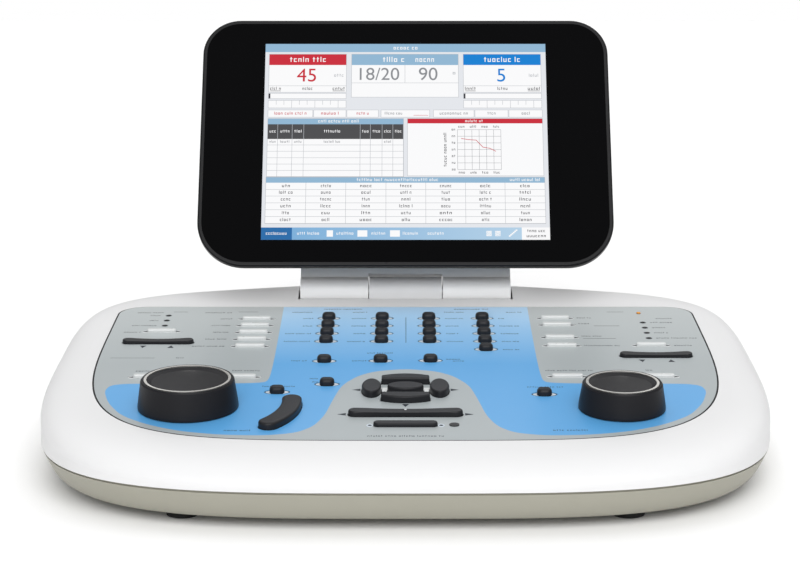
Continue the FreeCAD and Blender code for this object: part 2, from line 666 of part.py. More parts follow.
def dial(x, w, radius, height):
    """The dial's grip, its bright ring and its shaft, as solids of revolution."""
    rim = radius - DIAL_TAPER
    ring_in, ring_out = rim - 2.2 - DIAL_RING, rim - 2.2
    grip = [(0, height - DIAL_DISH), (ring_in - 3, height - DIAL_DISH), (ring_in, height - 0.7),
            (ring_in, height - 1.6), (ring_out, height - 1.6), (ring_out, height - 0.5), (rim - 0.8, height - 0.2),
            (rim, height - 1.2), (radius - 0.3, DIAL_LIFT + 4), (radius, DIAL_LIFT + 1.5), (radius, DIAL_LIFT),
            (radius - 3, DIAL_LIFT), (radius - 3, DIAL_LIFT + 6), (9, DIAL_LIFT + 6), (9, DIAL_LIFT),
            (SHAFT_RADIUS, DIAL_LIFT), (SHAFT_RADIUS, height - DIAL_DISH - 3), (0, height - DIAL_DISH - 3)]
    ring = [(ring_in, height - 1.6), (ring_out, height - 1.6), (ring_out, height), (ring_in, height)]

    def turned(points):
        outline = [V(x + r, w, z) for r, z in points]
        return Part.Face(Part.makePolygon(outline + outline[:1])).revolve(V(x, w, 0), Z_AXIS, 360)

    shaft = screw_post(x, w, SHAFT_RADIUS, -STACK - ENCODER_DEPTH + 1.5, height - DIAL_DISH - 3)
    return turned(grip), turned(ring), shaft


def encoder(x, w):
    side = ENCODER_SIDE / 2
    case = box((x - side, w - side, -STACK - ENCODER_DEPTH), (x + side, w + side, -STACK))
    bush = screw_post(x, w, BUSH_RADIUS, -STACK, -0.1)
    bore = screw_post(x, w, SHAFT_RADIUS + SHAFT_CLEARANCE, -STACK - ENCODER_DEPTH + 1.2, 1)
    return case.fuse(bush).cut(bore)


def make_panel():
    add("control_overlay", holed_sheet(0, -OVERLAY_THICK, 0))
    add("panel_plate", panel_plate())
    seal = prism(panel_face(SEAL_WIDTH), -STACK, -SEAL_DROP).cut(prism(panel_face(0), -CUT, CUT))
    add("panel_seal", seal)
    add("keypad_mat", inner_sheet(BOARD_TOP, MAT_TOP, POST_RADIUS + 0.3))
    add("key_board", inner_sheet(BOARD_LOW, BOARD_TOP, SCREW_RADIUS + SCREW_CLEARANCE))
    add("board_screws", group(board_screw(*p) for p in BOARD_SCREWS))
    add("dial_encoders", group(encoder(d[0], d[1]) for d in (LEFT_DIAL, RIGHT_DIAL)))
    for side, size in (("left", LEFT_DIAL), ("right", RIGHT_DIAL)):
        grip, ring, shaft = dial(*size)
        add(side + "_dial", grip)
        add(side + "_dial_ring", ring)
        add(side + "_dial_shaft", shaft)
    add("status_lenses", group(screw_post(x, w, LENS_RADIUS, -STACK, LENS_PROUD) for x, w in LENS_PLACES))
    add("talkback_microphone", screw_post(*MICROPHONE, MICROPHONE_RADIUS, -STACK, 0.6))
    make_keys()


# ---------- housing contents ----------

def behind_plate(x, z, radius, low, high):
    """A cylinder along y; low and high are measured from the connector plate's rear face."""
    return Part.makeCylinder(radius, high - low, V(x, BAY_PLATE_Y + low, z), Y_AXIS)


def bay_middle():
    return (BAY_Z[0] + BAY_Z[1]) / 2


def jack(x, bore, nut, depth):
    """A panel socket: a square body behind the plate and a threaded nose through it."""
    z = bay_middle()
    half = JACK_BODY / 2
    body = box((x - half, BAY_PLATE_Y - BAY_PLATE_THICK - depth, z - half),
               (x + half, BAY_PLATE_Y - BAY_PLATE_THICK, z + half))
    nose = behind_plate(x, z, nut - 1, -BAY_PLATE_THICK, JACK_PROUD)
    collar = behind_plate(x, z, nut, 0, JACK_PROUD - 0.6)
    hole = behind_plate(x, z, bore, 1.5 - BAY_PLATE_THICK - depth, JACK_PROUD + 1)
    return joined([body, nose, collar]).cut(hole)


def usb_port(x):
    z = bay_middle()
    half_x, half_z = USB_MOUTH[0] / 2, USB_MOUTH[1] / 2
    low = BAY_PLATE_Y - BAY_PLATE_THICK - USB_DEPTH
    shell = box((x - half_x - USB_SHELL, low, z - half_z - USB_SHELL),
                (x + half_x + USB_SHELL, BAY_PLATE_Y + 0.4, z + half_z + USB_SHELL))
    return shell.cut(box((x - half_x, low + 1, z - half_z), (x + half_x, BAY_PLATE_Y + 1, z + half_z)))


def connector_plate():
    z = bay_middle()
    margin = BAY_SEAT - 0.5
    plate = box((-BAY_HALF_WIDTH - margin, BAY_PLATE_Y - BAY_PLATE_THICK, BAY_Z[0] - margin),
                (BAY_HALF_WIDTH + margin, BAY_PLATE_Y, BAY_Z[1] + margin))
    cuts = [behind_plate(x, z, JACK_NUT_RADIUS - 1, -CUT, CUT) for x in JACK_X]
    cuts.append(behind_plate(INLET_X, z, INLET_NUT_RADIUS - 1, -CUT, CUT))
    half_x, half_z = USB_MOUTH[0] / 2 + USB_SHELL, USB_MOUTH[1] / 2 + USB_SHELL
    low, high = BAY_PLATE_Y - CUT, BAY_PLATE_Y + CUT
    cuts += [box((x - half_x, low, z - half_z), (x + half_x, high, z + half_z)) for x in USB_X]
    half_x, half_z = SWITCH[0] / 2 + SWITCH_GAP, SWITCH[1] / 2 + SWITCH_GAP
    cuts.append(box((SWITCH_X - half_x, low, z - half_z), (SWITCH_X + half_x, high, z + half_z)))
    return plate.cut(cuts)


def power_switch():
    """The rear rocker's paddle: its two halves slope down to the middle."""
    z = bay_middle()
    half_x, half_z = SWITCH[0] / 2, SWITCH[1] / 2
    outer, inner = BAY_PLATE_Y + SWITCH_PROUD, BAY_PLATE_Y - SWITCH_DEPTH
    outline = [V(0, inner, z - half_z), V(0, outer, z - half_z), V(0, outer - 1.1, z), V(0, outer, z + half_z),
               V(0, inner, z + half_z)]
    face = Part.Face(Part.makePolygon(outline + outline[:1])).translated(V(SWITCH_X - half_x, 0, 0))
    paddle = face.extrude(V(2 * half_x, 0, 0))
    paddle.rotate(V(0, BAY_PLATE_Y - SWITCH_PIVOT, z), X_AXIS, -SWITCH_THROW)
    return paddle


def main_board():
    half_x, half_y = MAIN_BOARD[0] / 2, MAIN_BOARD[1] / 2
    board = box((-half_x, MAIN_BOARD_Y - half_y, MAIN_BOARD_Z), (half_x, MAIN_BOARD_Y + half_y,
                                                                 MAIN_BOARD_Z + BOARD_THICK))
    chips = [box((x, MAIN_BOARD_Y - 15, MAIN_BOARD_Z + BOARD_THICK), (x + 24, MAIN_BOARD_Y + 9, MAIN_BOARD_Z + 5))
             for x in (-70, -12, 46)]
    return board.fuse(chips)


def speaker():
    floor = FOOT_HEIGHT + WALL
    cone = Part.makeCone(SPEAKER_RADIUS - 8, SPEAKER_RADIUS, SPEAKER_HEIGHT * 0.6, V(*SPEAKER, floor))
    rim = Part.makeCylinder(SPEAKER_RADIUS, 2.5, V(*SPEAKER, floor + SPEAKER_HEIGHT * 0.6))
    bowl = Part.makeCone(4, SPEAKER_RADIUS - 4, SPEAKER_HEIGHT * 0.4,
                         V(*SPEAKER, floor + SPEAKER_HEIGHT * 0.6 + 2.5 - SPEAKER_HEIGHT * 0.4))
    return cone.fuse(rim).cut(bowl)


def make_housing():
    add("bottom_cover", bottom_cover())
    add("top_cover", top_cover())
    add("rubber_feet", group(foot(x, y) for x, y in FEET))
    add("housing_screws", group(case_screw(x, y) for x, y in CASE_SCREWS))
    add("main_board", main_board())
    add("monitor_speaker", speaker())
    add("connector_plate", connector_plate())
    add("jack_sockets", group(jack(x, JACK_BORE, JACK_NUT_RADIUS, JACK_DEPTH) for x in JACK_X))
    add("power_inlet", jack(INLET_X, INLET_BORE, INLET_NUT_RADIUS, JACK_DEPTH - 3))
    add("usb_ports", group(usb_port(x) for x in USB_X))
    add("power_switch", power_switch())


# ---------- hinge and arm ----------

def x_rod(x, length, radius, y=0.0, z=0.0):
    return Part.makeCylinder(radius, length, V(x, y, z), X_AXIS)


def hinge_block():
    """The fixed middle of the base hinge, standing on its bracket."""
    half = BLOCK_HALF_WIDTH
    barrel = x_rod(-half, 2 * half, KNUCKLE_RADIUS, HINGE_Y, HINGE_Z)
    stem = box((-half, HINGE_Y - KNUCKLE_RADIUS, BRACKET_Z + BRACKET_THICK), (half, HINGE_Y + KNUCKLE_RADIUS, HINGE_Z))
    return barrel.fuse(stem).cut([hinge_pin(s) for s in (-1, 1)])


def hinge_pin(side):
    """A pin that is fixed in the block and carries one knuckle of the arm."""
    end = ARM_HALF_WIDTH - PIN_COVER
    start = end - PIN_LENGTH if side > 0 else -end
    return x_rod(start, PIN_LENGTH, PIN_RADIUS, HINGE_Y, HINGE_Z)


def hinge_bracket():
    """The steel plate that carries the hinge block, on two posts of the bottom cover."""
    half_y = KNUCKLE_RADIUS + 5
    return box((-BRACKET_HALF_WIDTH, HINGE_Y - half_y, BRACKET_Z),
               (BRACKET_HALF_WIDTH, HINGE_Y + half_y, BRACKET_Z + BRACKET_THICK))


def display_arm():
    """The arm plate, in its own frame: y runs from the base hinge to the tilt hinge, z to the front."""
    half, thick = ARM_HALF_WIDTH, ARM_THICK / 2
    plate = prism(rounded_face(-half, half, 0, ARM_LENGTH + 2, 0.5, 10), -thick, thick)
    top_half = TILT_HALF_WIDTH + HINGE_SIDE_GAP
    clear = KNUCKLE_RADIUS + KNUCKLE_GAP
    block_half = BLOCK_HALF_WIDTH + HINGE_SIDE_GAP
    knuckles = [x_rod(-half, half - block_half, KNUCKLE_RADIUS), x_rod(block_half, half - block_half, KNUCKLE_RADIUS)]
    barrels = [x_rod(-top_half - 25, 25, TILT_BARREL, ARM_LENGTH), x_rod(top_half, 25, TILT_BARREL, ARM_LENGTH)]
    foot_cut = box((-block_half, -clear, -CUT), (block_half, clear + 0.5, CUT))
    head_cut = box((-top_half, ARM_LENGTH - TILT_BARREL - KNUCKLE_GAP, -CUT), (top_half, ARM_LENGTH + CUT, CUT))
    bores = [x_rod(PIN_COVER - half, 2 * (half - PIN_COVER), PIN_RADIUS + PIN_CLEARANCE),
             x_rod(-tilt_pin_half(), 2 * tilt_pin_half(), PIN_RADIUS, ARM_LENGTH)]
    return joined([plate] + knuckles + barrels).cut([foot_cut, head_cut] + bores)


def tilt_pin_half():
    return TILT_HALF_WIDTH + HINGE_SIDE_GAP + 22


def arm_cover():
    """A thin cover on the arm's rear face."""
    face = rounded_face(8 - ARM_HALF_WIDTH, ARM_HALF_WIDTH - 8, KNUCKLE_RADIUS + 6, ARM_LENGTH - 14, 4, 4)
    return prism(face, -ARM_THICK / 2 - ARM_COVER_THICK, -ARM_THICK / 2)


def tilt_bracket():
    """The display's half of the tilt hinge, in the display's frame."""
    back = -DISPLAY_DEPTH
    axis = back - TILT_BEHIND
    half = TILT_HALF_WIDTH
    plate = prism(rounded_face(-half, half, TILT_UP - TILT_PLATE_HALF, TILT_UP + TILT_PLATE_HALF, 4, 4),
                  back - TILT_PLATE, back)
    barrel = x_rod(-half, 2 * half, TILT_BARREL, TILT_UP, axis)
    web = box((-half, TILT_UP - TILT_BARREL, axis), (half, TILT_UP + TILT_BARREL, back - TILT_PLATE))
    return joined([plate, barrel, web]).cut(x_rod(-half - 1, 2 * half + 2, PIN_RADIUS + PIN_CLEARANCE, TILT_UP, axis))


def make_hinges():
    add("hinge_block", hinge_block())
    add("hinge_pins", group(hinge_pin(s) for s in (-1, 1)))
    add("hinge_bracket", hinge_bracket())
    add("display_arm", placed(display_arm(), ARM_PLACE))
    add("arm_back_cover", placed(arm_cover(), ARM_PLACE))
    pin = x_rod(-tilt_pin_half(), 2 * tilt_pin_half(), PIN_RADIUS, ARM_LENGTH)
    add("tilt_pin", placed(pin, ARM_PLACE))
    add("tilt_bracket", placed(tilt_bracket(), DISPLAY_PLACE))


# ---------- display ----------

def bezel_face(inset):
    return rounded_face(inset - BEZEL_HALF_WIDTH, BEZEL_HALF_WIDTH - inset, inset - BEZEL_BELOW,
                        SCREEN[1] + BEZEL_ABOVE - inset, BEZEL_LOW_CORNER - inset, BEZEL_TOP_CORNER - inset)


def display_screw_places():
    x = BEZEL_HALF_WIDTH - DISPLAY_SCREW_INSET
    return [(s * x, v) for s in (-1, 1) for v in (SCREEN[1] * 0.2, SCREEN[1] * 0.85)]


def display_frame():
    body = fillet_at(prism(bezel_face(0), -FRAME_DEPTH, 0), 0, FRAME_ROUND)
    pocket = prism(bezel_face(GLASS_INSET), -GLASS_THICK, 1)
    inside = prism(bezel_face(FRAME_WIDTH), -FRAME_DEPTH - 1, 0)
    holes = [screw_post(x, v, SCREW_RADIUS + SCREW_CLEARANCE, -FRAME_DEPTH - 1, 0.2 - DISPLAY_SCREW_TIP)
             for x, v in display_screw_places()]
    return body.cut([pocket, inside] + holes)


def display_glass():
    half, high, gap = SCREEN[0] / 2, SCREEN[1], WINDOW_GAP
    window = box((-half - gap, -gap, -5), (half + gap, high + gap, 5))
    return prism(bezel_face(GLASS_INSET + 0.05), -GLASS_THICK, 0).cut(window)


def lcd_panel():
    half, high = SCREEN[0] / 2, SCREEN[1]
    body = box((-half - LCD_RIM, -LCD_RIM, -GLASS_THICK - LCD_THICK), (half + LCD_RIM, high + LCD_RIM, -GLASS_THICK))
    return body.fuse(box((-half, 0, -GLASS_THICK), (half, high, -0.1)))


def board_posts():
    x = DISPLAY_BOARD[0] / 2 - 8
    low = SCREEN[1] / 2 - DISPLAY_BOARD[1] / 2 + 8
    high = SCREEN[1] / 2 + DISPLAY_BOARD[1] / 2 - 8
    return [(s * x, v) for s in (-1, 1) for v in (low, high)]


def back_form(inset, rear):
    """The back cover's form: its sides slope in from the frame to the flat rear face."""
    wide = bezel_face(inset).translated(V(0, 0, -FRAME_DEPTH))
    narrow = bezel_face(inset + BACK_TAPER).translated(V(0, 0, rear))
    return Part.makeLoft([wide.OuterWire, narrow.OuterWire], True, True)


def display_back():
    body = fillet_at(back_form(0, -DISPLAY_DEPTH), -DISPLAY_DEPTH, BACK_ROUND)
    floor = -DISPLAY_DEPTH + BACK_WALL
    hollow = back_form(BACK_WALL, floor)
    posts = [screw_post(x, v, POST_RADIUS, -CUT, -DISPLAY_BOARD_DEPTH) for x, v in board_posts()]
    posts += [screw_post(x, v, BOSS_RADIUS, -CUT, CUT) for x, v in display_screw_places()]
    drills = []
    for x, v in display_screw_places():
        drills.append(screw_post(x, v, SCREW_RADIUS + SCREW_CLEARANCE, -CUT, 0))
        drills.append(screw_post(x, v, SCREW_HEAD_RADIUS + SCREW_CLEARANCE, -CUT, -DISPLAY_SCREW_SEAT))
    vents = []
    for i in range(-5, 6):
        slot = prism(pill_face(0, 0, 26, 2.2), -DISPLAY_DEPTH - 1, floor + 1)
        slot.rotate(V(0, 0, 0), Z_AXIS, 90)
        vents.append(slot.translated(V(8.0 * i, SCREEN[1] - 22, 0)))
    return body.cut([hollow.cut(posts)] + drills + vents)


def display_screw(x, v):
    low = -DISPLAY_SCREW_SEAT - SCREW_HEAD
    head = screw_post(x, v, SCREW_HEAD_RADIUS, low, low + SCREW_HEAD)
    slot = box((x - 2, v - 0.4, low - 1), (x + 2, v + 0.4, low + 0.8))
    return head.fuse(screw_post(x, v, SCREW_RADIUS, low, -DISPLAY_SCREW_TIP)).cut(slot)


def make_display():
    board = box((-DISPLAY_BOARD[0] / 2, SCREEN[1] / 2 - DISPLAY_BOARD[1] / 2, -DISPLAY_BOARD_DEPTH),
                (DISPLAY_BOARD[0] / 2, SCREEN[1] / 2 + DISPLAY_BOARD[1] / 2, BOARD_THICK - DISPLAY_BOARD_DEPTH))
    pieces = {
        "display_frame": display_frame(),
        "display_glass": display_glass(),
        "lcd_panel": lcd_panel(),
        "display_back_cover": display_back(),
        "display_board": board,
        "display_screws": group(display_screw(*p) for p in display_screw_places()),
    }
    for name, shape in pieces.items():
        add(name, placed(shape, DISPLAY_PLACE))


# ---------- assembly ----------

def build():
    make_panel()
    for name in list(PARTS):
        PARTS[name] = placed(PARTS[name], PANEL_PLACE)
    make_housing()
    make_hinges()
    make_display()


def origin_shift():
    """The move that puts the origin under the middle of the object's box."""
    bound = Part.makeCompound(list(PARTS.values())).optimalBoundingBox(False, False)
    return V(-(bound.XMin + bound.XMax) / 2, -(bound.YMin + bound.YMax) / 2, -bound.ZMin)


def write():
    os.makedirs("parts", exist_ok=True)
    shift = origin_shift()
    print("shift", tuple(round(c, 4) for c in shift))
    for name, shape in PARTS.items():
        moved = shape.translated(shift)
        if not moved.isValid():
            print("invalid", name)
        moved.exportStep("parts/" + name + ".step")
    print(len(PARTS), "nodes")


build()
write()
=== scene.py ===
# %% [markdown]
# # Dressing a desktop audiometer
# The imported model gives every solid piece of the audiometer: housing, control panel, keys, dials,
# display and hinges. This lesson gives them their finishes and adds what solids don't hold: the
# printed panel, the lit screen, key skirts, legends and trim. The model is in metres, with z up.

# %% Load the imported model
import json
import math
import random

import bpy
from mathutils import Matrix, Vector


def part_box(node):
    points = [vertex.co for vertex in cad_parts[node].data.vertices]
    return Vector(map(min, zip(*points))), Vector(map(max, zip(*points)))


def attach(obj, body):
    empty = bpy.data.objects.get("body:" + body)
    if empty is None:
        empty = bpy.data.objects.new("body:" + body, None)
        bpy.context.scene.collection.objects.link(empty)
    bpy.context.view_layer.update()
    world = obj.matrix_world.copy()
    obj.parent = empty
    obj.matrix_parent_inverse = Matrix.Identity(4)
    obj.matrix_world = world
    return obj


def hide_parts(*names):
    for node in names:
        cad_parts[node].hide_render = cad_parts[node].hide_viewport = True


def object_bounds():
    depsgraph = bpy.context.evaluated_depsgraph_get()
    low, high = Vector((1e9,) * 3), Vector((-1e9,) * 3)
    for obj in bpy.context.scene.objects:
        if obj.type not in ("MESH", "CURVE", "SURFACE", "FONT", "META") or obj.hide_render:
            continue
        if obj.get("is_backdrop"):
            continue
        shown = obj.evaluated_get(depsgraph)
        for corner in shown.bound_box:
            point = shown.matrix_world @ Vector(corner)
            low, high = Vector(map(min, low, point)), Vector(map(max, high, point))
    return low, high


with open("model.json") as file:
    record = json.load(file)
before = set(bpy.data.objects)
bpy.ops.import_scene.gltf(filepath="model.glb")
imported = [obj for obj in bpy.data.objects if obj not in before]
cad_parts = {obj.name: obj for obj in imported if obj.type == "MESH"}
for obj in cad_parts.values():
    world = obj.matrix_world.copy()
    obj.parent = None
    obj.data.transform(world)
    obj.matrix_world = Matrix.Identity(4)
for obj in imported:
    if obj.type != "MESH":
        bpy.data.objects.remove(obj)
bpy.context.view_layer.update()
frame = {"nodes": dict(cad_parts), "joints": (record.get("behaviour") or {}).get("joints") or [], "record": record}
nodes = frame["nodes"]
joints = {joint["name"]: joint for joint in frame["joints"]}
MM = 0.001
print("nodes:", len(nodes), "joints:", len(joints))

# %% [markdown]
# Two flat places carry most of the detail: the sloping control panel and the leaning screen.
# Each gets a matrix, so that a piece is drawn flat, in millimetres, and then laid in its place.
# The panel starts at the middle of its front edge, the screen at the middle of its lower edge.

# %% The panel's and the screen's places
PANEL_TILT = math.radians(5.4)
OVERLAY_THICK = 0.6 * MM
SCREEN_LEAN = math.radians(29.7)
TILT_UP = 60 * MM
TILT_BEHIND = 36 * MM
SCREEN_WIDTH, SCREEN_HEIGHT = 211.2, 158.4

overlay_low, overlay_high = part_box("control_overlay")
panel_start = Vector((0, overlay_low.y, overlay_low.z + OVERLAY_THICK * math.cos(PANEL_TILT)))
PANEL = Matrix.Translation(panel_start) @ Matrix.Rotation(PANEL_TILT, 4, "X") @ Matrix.Scale(MM, 4)
tilt_point = Vector(joints["display_tilt"]["pos_m"])
SCREEN = (Matrix.Translation(tilt_point) @ Matrix.Rotation(math.pi / 2 - SCREEN_LEAN, 4, "X")
          @ Matrix.Translation((0, -TILT_UP, TILT_BEHIND)) @ Matrix.Scale(MM, 4))
print("panel starts at", panel_start[:], "screen at", SCREEN.translation[:])

# %% [markdown]
# Plastics, rubber and paint are never one flat colour. They have a fine moulded grain, and a
# slow cloud of slightly lighter and darker, rougher and smoother places. One node group holds
# both, so each material only gives it its own colours, sizes and depths. A Mix node set to colour
# keeps its sockets at fixed places, which are named here.

# %% A node group for moulded surfaces
CLOUD_SCALE = 22
CLOUD_DETAIL = 4
GRAIN_DETAIL = 2
GRAIN_HEIGHT = 0.2 * MM
MIX_SHARE, MIX_FIRST, MIX_SECOND, MIX_RESULT = 0, 6, 7, 2


def group_socket(group, name, kind, way, value=None):
    socket = group.interface.new_socket(name, in_out=way, socket_type=kind)
    if value is not None:
        socket.default_value = value


def moulded_group():
    group = bpy.data.node_groups.new("moulded_surface", "ShaderNodeTree")
    group_socket(group, "Light", "NodeSocketColor", "INPUT")
    group_socket(group, "Dark", "NodeSocketColor", "INPUT")
    group_socket(group, "Grain Size", "NodeSocketFloat", "INPUT", 2000.0)
    group_socket(group, "Grain Depth", "NodeSocketFloat", "INPUT", 0.1)
    group_socket(group, "Smooth", "NodeSocketFloat", "INPUT", 0.4)
    group_socket(group, "Rough", "NodeSocketFloat", "INPUT", 0.5)
    group_socket(group, "Color", "NodeSocketColor", "OUTPUT")
    group_socket(group, "Roughness", "NodeSocketFloat", "OUTPUT")
    group_socket(group, "Normal", "NodeSocketVector", "OUTPUT")
    add, link = group.nodes.new, group.links.new
    given, made = add("NodeGroupInput"), add("NodeGroupOutput")
    place = add("ShaderNodeTexCoord")
    cloud = add("ShaderNodeTexNoise")
    cloud.inputs["Scale"].default_value = CLOUD_SCALE
    cloud.inputs["Detail"].default_value = CLOUD_DETAIL
    grain = add("ShaderNodeTexNoise")
    grain.inputs["Detail"].default_value = GRAIN_DETAIL
    tint = add("ShaderNodeMix")
    tint.data_type = "RGBA"
    gloss = add("ShaderNodeMapRange")
    bump = add("ShaderNodeBump")
    bump.inputs["Distance"].default_value = GRAIN_HEIGHT
    link(place.outputs["Object"], cloud.inputs["Vector"])
    link(place.outputs["Object"], grain.inputs["Vector"])
    link(given.outputs["Grain Size"], grain.inputs["Scale"])
    link(cloud.outputs["Fac"], tint.inputs[MIX_SHARE])
    link(given.outputs["Dark"], tint.inputs[MIX_FIRST])
    link(given.outputs["Light"], tint.inputs[MIX_SECOND])
    link(cloud.outputs["Fac"], gloss.inputs["Value"])
    link(given.outputs["Smooth"], gloss.inputs["To Min"])
    link(given.outputs["Rough"], gloss.inputs["To Max"])
    link(grain.outputs["Fac"], bump.inputs["Height"])
    link(given.outputs["Grain Depth"], bump.inputs["Strength"])
    link(tint.outputs[MIX_RESULT], made.inputs["Color"])
    link(gloss.outputs["Result"], made.inputs["Roughness"])
    link(bump.outputs["Normal"], made.inputs["Normal"])
    return group


MOULDED = moulded_group()


def shade(colour, factor):
    return tuple(min(1.0, part * factor) for part in colour) + (1.0,)


def moulded(name, colour, rough, spread=0.06, cloud=0.04, grain=2000.0, depth=0.1, metallic=0.0,
            specular=0.5):
    """A material from the moulded group: colour is linear, spread is the change of roughness."""
    material = bpy.data.materials.new(name)
    material.use_nodes = True
    tree = material.node_tree
    shader = tree.nodes["Principled BSDF"]
    surface = tree.nodes.new("ShaderNodeGroup")
    surface.node_tree = MOULDED
    surface.inputs["Light"].default_value = shade(colour, 1 + cloud)
    surface.inputs["Dark"].default_value = shade(colour, 1 - cloud)
    surface.inputs["Grain Size"].default_value = grain
    surface.inputs["Grain Depth"].default_value = depth
    surface.inputs["Smooth"].default_value = rough - spread
    surface.inputs["Rough"].default_value = rough + spread
    tree.links.new(surface.outputs["Color"], shader.inputs["Base Color"])
    tree.links.new(surface.outputs["Roughness"], shader.inputs["Roughness"])
    tree.links.new(surface.outputs["Normal"], shader.inputs["Normal"])
    shader.inputs["Metallic"].default_value = metallic
    shader.inputs["Specular IOR Level"].default_value = specular
    return material


print("node group sockets:", len(MOULDED.interface.items_tree))

# %% [markdown]
# Each finish is one call. The covers are eggshell plastic, the keys soft rubber, the dials satin,
# and the display's front is a deep black that reflects almost nothing. Metals have a low
# roughness, and the screws and the dials' rings a very fine grain.

# %% The finishes of the solid pieces
FINISHES = {
    "white_cover": moulded("white_cover", (0.72, 0.72, 0.725), 0.42, grain=2600, depth=0.10,
                           cloud=0.012, specular=0.3),
    "beige_cover": moulded("beige_cover", (0.34, 0.33, 0.275), 0.50, grain=2600, depth=0.14,
                           cloud=0.02),
    "seal": moulded("seal", (0.012, 0.012, 0.014), 0.6, specular=0.25),
    "plate": moulded("plate", (0.55, 0.56, 0.57), 0.35, metallic=1.0),
    "silicone": moulded("silicone", (0.50, 0.52, 0.52), 0.5),
    "board": moulded("board", (0.012, 0.10, 0.035), 0.35, cloud=0.2),
    "screw_steel": moulded("screw_steel", (0.50, 0.50, 0.52), 0.28, metallic=1.0, grain=4000),
    "dark_key": moulded("dark_key", (0.014, 0.0145, 0.017), 0.42, cloud=0.15, grain=3200,
                        depth=0.12, specular=0.2),
    "light_key": moulded("light_key", (0.60, 0.62, 0.62), 0.28, cloud=0.02),
    "dial_black": moulded("dial_black", (0.012, 0.012, 0.014), 0.40, cloud=0.12, grain=2600,
                          depth=0.16, specular=0.15),
    "dial_ring": moulded("dial_ring", (0.74, 0.73, 0.70), 0.36, spread=0.03, metallic=1.0,
                         grain=5000, depth=0.03),
    "lens": moulded("lens", (0.010, 0.010, 0.012), 0.12),
    "black_part": moulded("black_part", (0.02, 0.02, 0.022), 0.45, specular=0.3),
    "foot_rubber": moulded("foot_rubber", (0.02, 0.02, 0.02), 0.8, depth=0.3, specular=0.2),
    "socket_black": moulded("socket_black", (0.014, 0.014, 0.016), 0.3),
    "socket_metal": moulded("socket_metal", (0.55, 0.54, 0.52), 0.25, metallic=1.0),
    # The arm's grey is set paler than the white covers: painted light that makes up for the shade the display
    # casts on it.
    "arm_grey": moulded("arm_grey", (0.86, 0.86, 0.86), 0.45, cloud=0.015, grain=3000, depth=0.08),
    "frame_black": moulded("frame_black", (0.006, 0.006, 0.007), 0.28, grain=1800, depth=0.05,
                           specular=0.12),
    "bezel_black": moulded("bezel_black", (0.0015, 0.0015, 0.0018), 0.10, spread=0.02, grain=900,
                           depth=0.01, specular=0.01),
    "display_black": moulded("display_black", (0.012, 0.012, 0.014), 0.5, grain=1800, depth=0.25,
                             specular=0.3),
    "screen": moulded("screen", (0.02, 0.022, 0.026), 0.2, spread=0.03, depth=0.02, specular=0.3),
}
print("finishes:", len(FINISHES))

# %% [markdown]
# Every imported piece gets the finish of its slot. Faces that meet at less than a set angle are
# shaded as one round surface, so that real edges stay crisp.

# %% Dress the solid pieces
SMOOTH_BELOW = math.radians(32)


def only(piece):
    bpy.ops.object.select_all(action="DESELECT")
    piece.select_set(True)
    bpy.context.view_layer.objects.active = piece


def coat(piece, finish):
    """Give every face of a piece one finish."""
    piece.data.materials.clear()
    piece.data.materials.append(finish)
    for face in piece.data.polygons:
        face.material_index = 0


def dress(name, finish):
    """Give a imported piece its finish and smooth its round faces."""
    piece = nodes[name]
    coat(piece, finish)
    only(piece)
    bpy.ops.object.shade_smooth_by_angle(angle=SMOOTH_BELOW)


# The printed film has no finish of its own yet: coloured pieces take its place further on.
for part in frame["record"]["subparts"]:
    dress(part["node"], FINISHES.get(part["material_slot"], FINISHES["dark_key"]))
dress("display_frame", FINISHES["frame_black"])

# %% [markdown]
# The camera stands where a seller's picture is taken: in front, a little above, with a long lens
# that keeps the sides parallel. The small shift puts the middle of the object off the middle of
# the picture by a few picture points.

# %% Camera
FOCAL_POINTS = 2050
PICTURE_WIDTH = 800
SENSOR_WIDTH = 36.0
CAMERA_BACK = 1.140
CAMERA_HEIGHT = 0.349
CAMERA_DOWN = math.radians(10)
OFF_CENTRE_POINTS = 5.5

camera_data = bpy.data.cameras.new("camera")
camera_data.lens = SENSOR_WIDTH * FOCAL_POINTS / PICTURE_WIDTH
camera_data.sensor_width = SENSOR_WIDTH
camera_data.shift_x = -OFF_CENTRE_POINTS / PICTURE_WIDTH
camera = bpy.data.objects.new("camera", camera_data)
bpy.context.scene.collection.objects.link(camera)
camera.location = (0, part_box("top_cover")[0].y - CAMERA_BACK, CAMERA_HEIGHT)
camera.rotation_euler = (math.pi / 2 - CAMERA_DOWN, 0, 0)
bpy.context.scene.camera = camera
print("lens", round(camera_data.lens, 2), "camera at", camera.location[:])

# %% [markdown]
# A white product picture needs a wide soft light that comes over the viewer's shoulder, a low one
# that reaches under the display, one from behind, and an even surround. The lights are broad and
# far away, so the pale floor is evenly white and only the contact shadow shows. The surround is
# brighter to the camera than to the object, which keeps the backdrop white.

# %% Floor and light
FLOOR_SIZE = 12.0


def studio_light(name, height, side, strength, spread):
    """A broad far light at a height angle, turned to a side, all angles in degrees."""
    data = bpy.data.lights.new(name, "SUN")
    data.energy = strength
    data.angle = math.radians(spread)
    light = bpy.data.objects.new(name, data)
    bpy.context.scene.collection.objects.link(light)
    light.rotation_euler = (math.radians(90 - height), 0, math.radians(side))


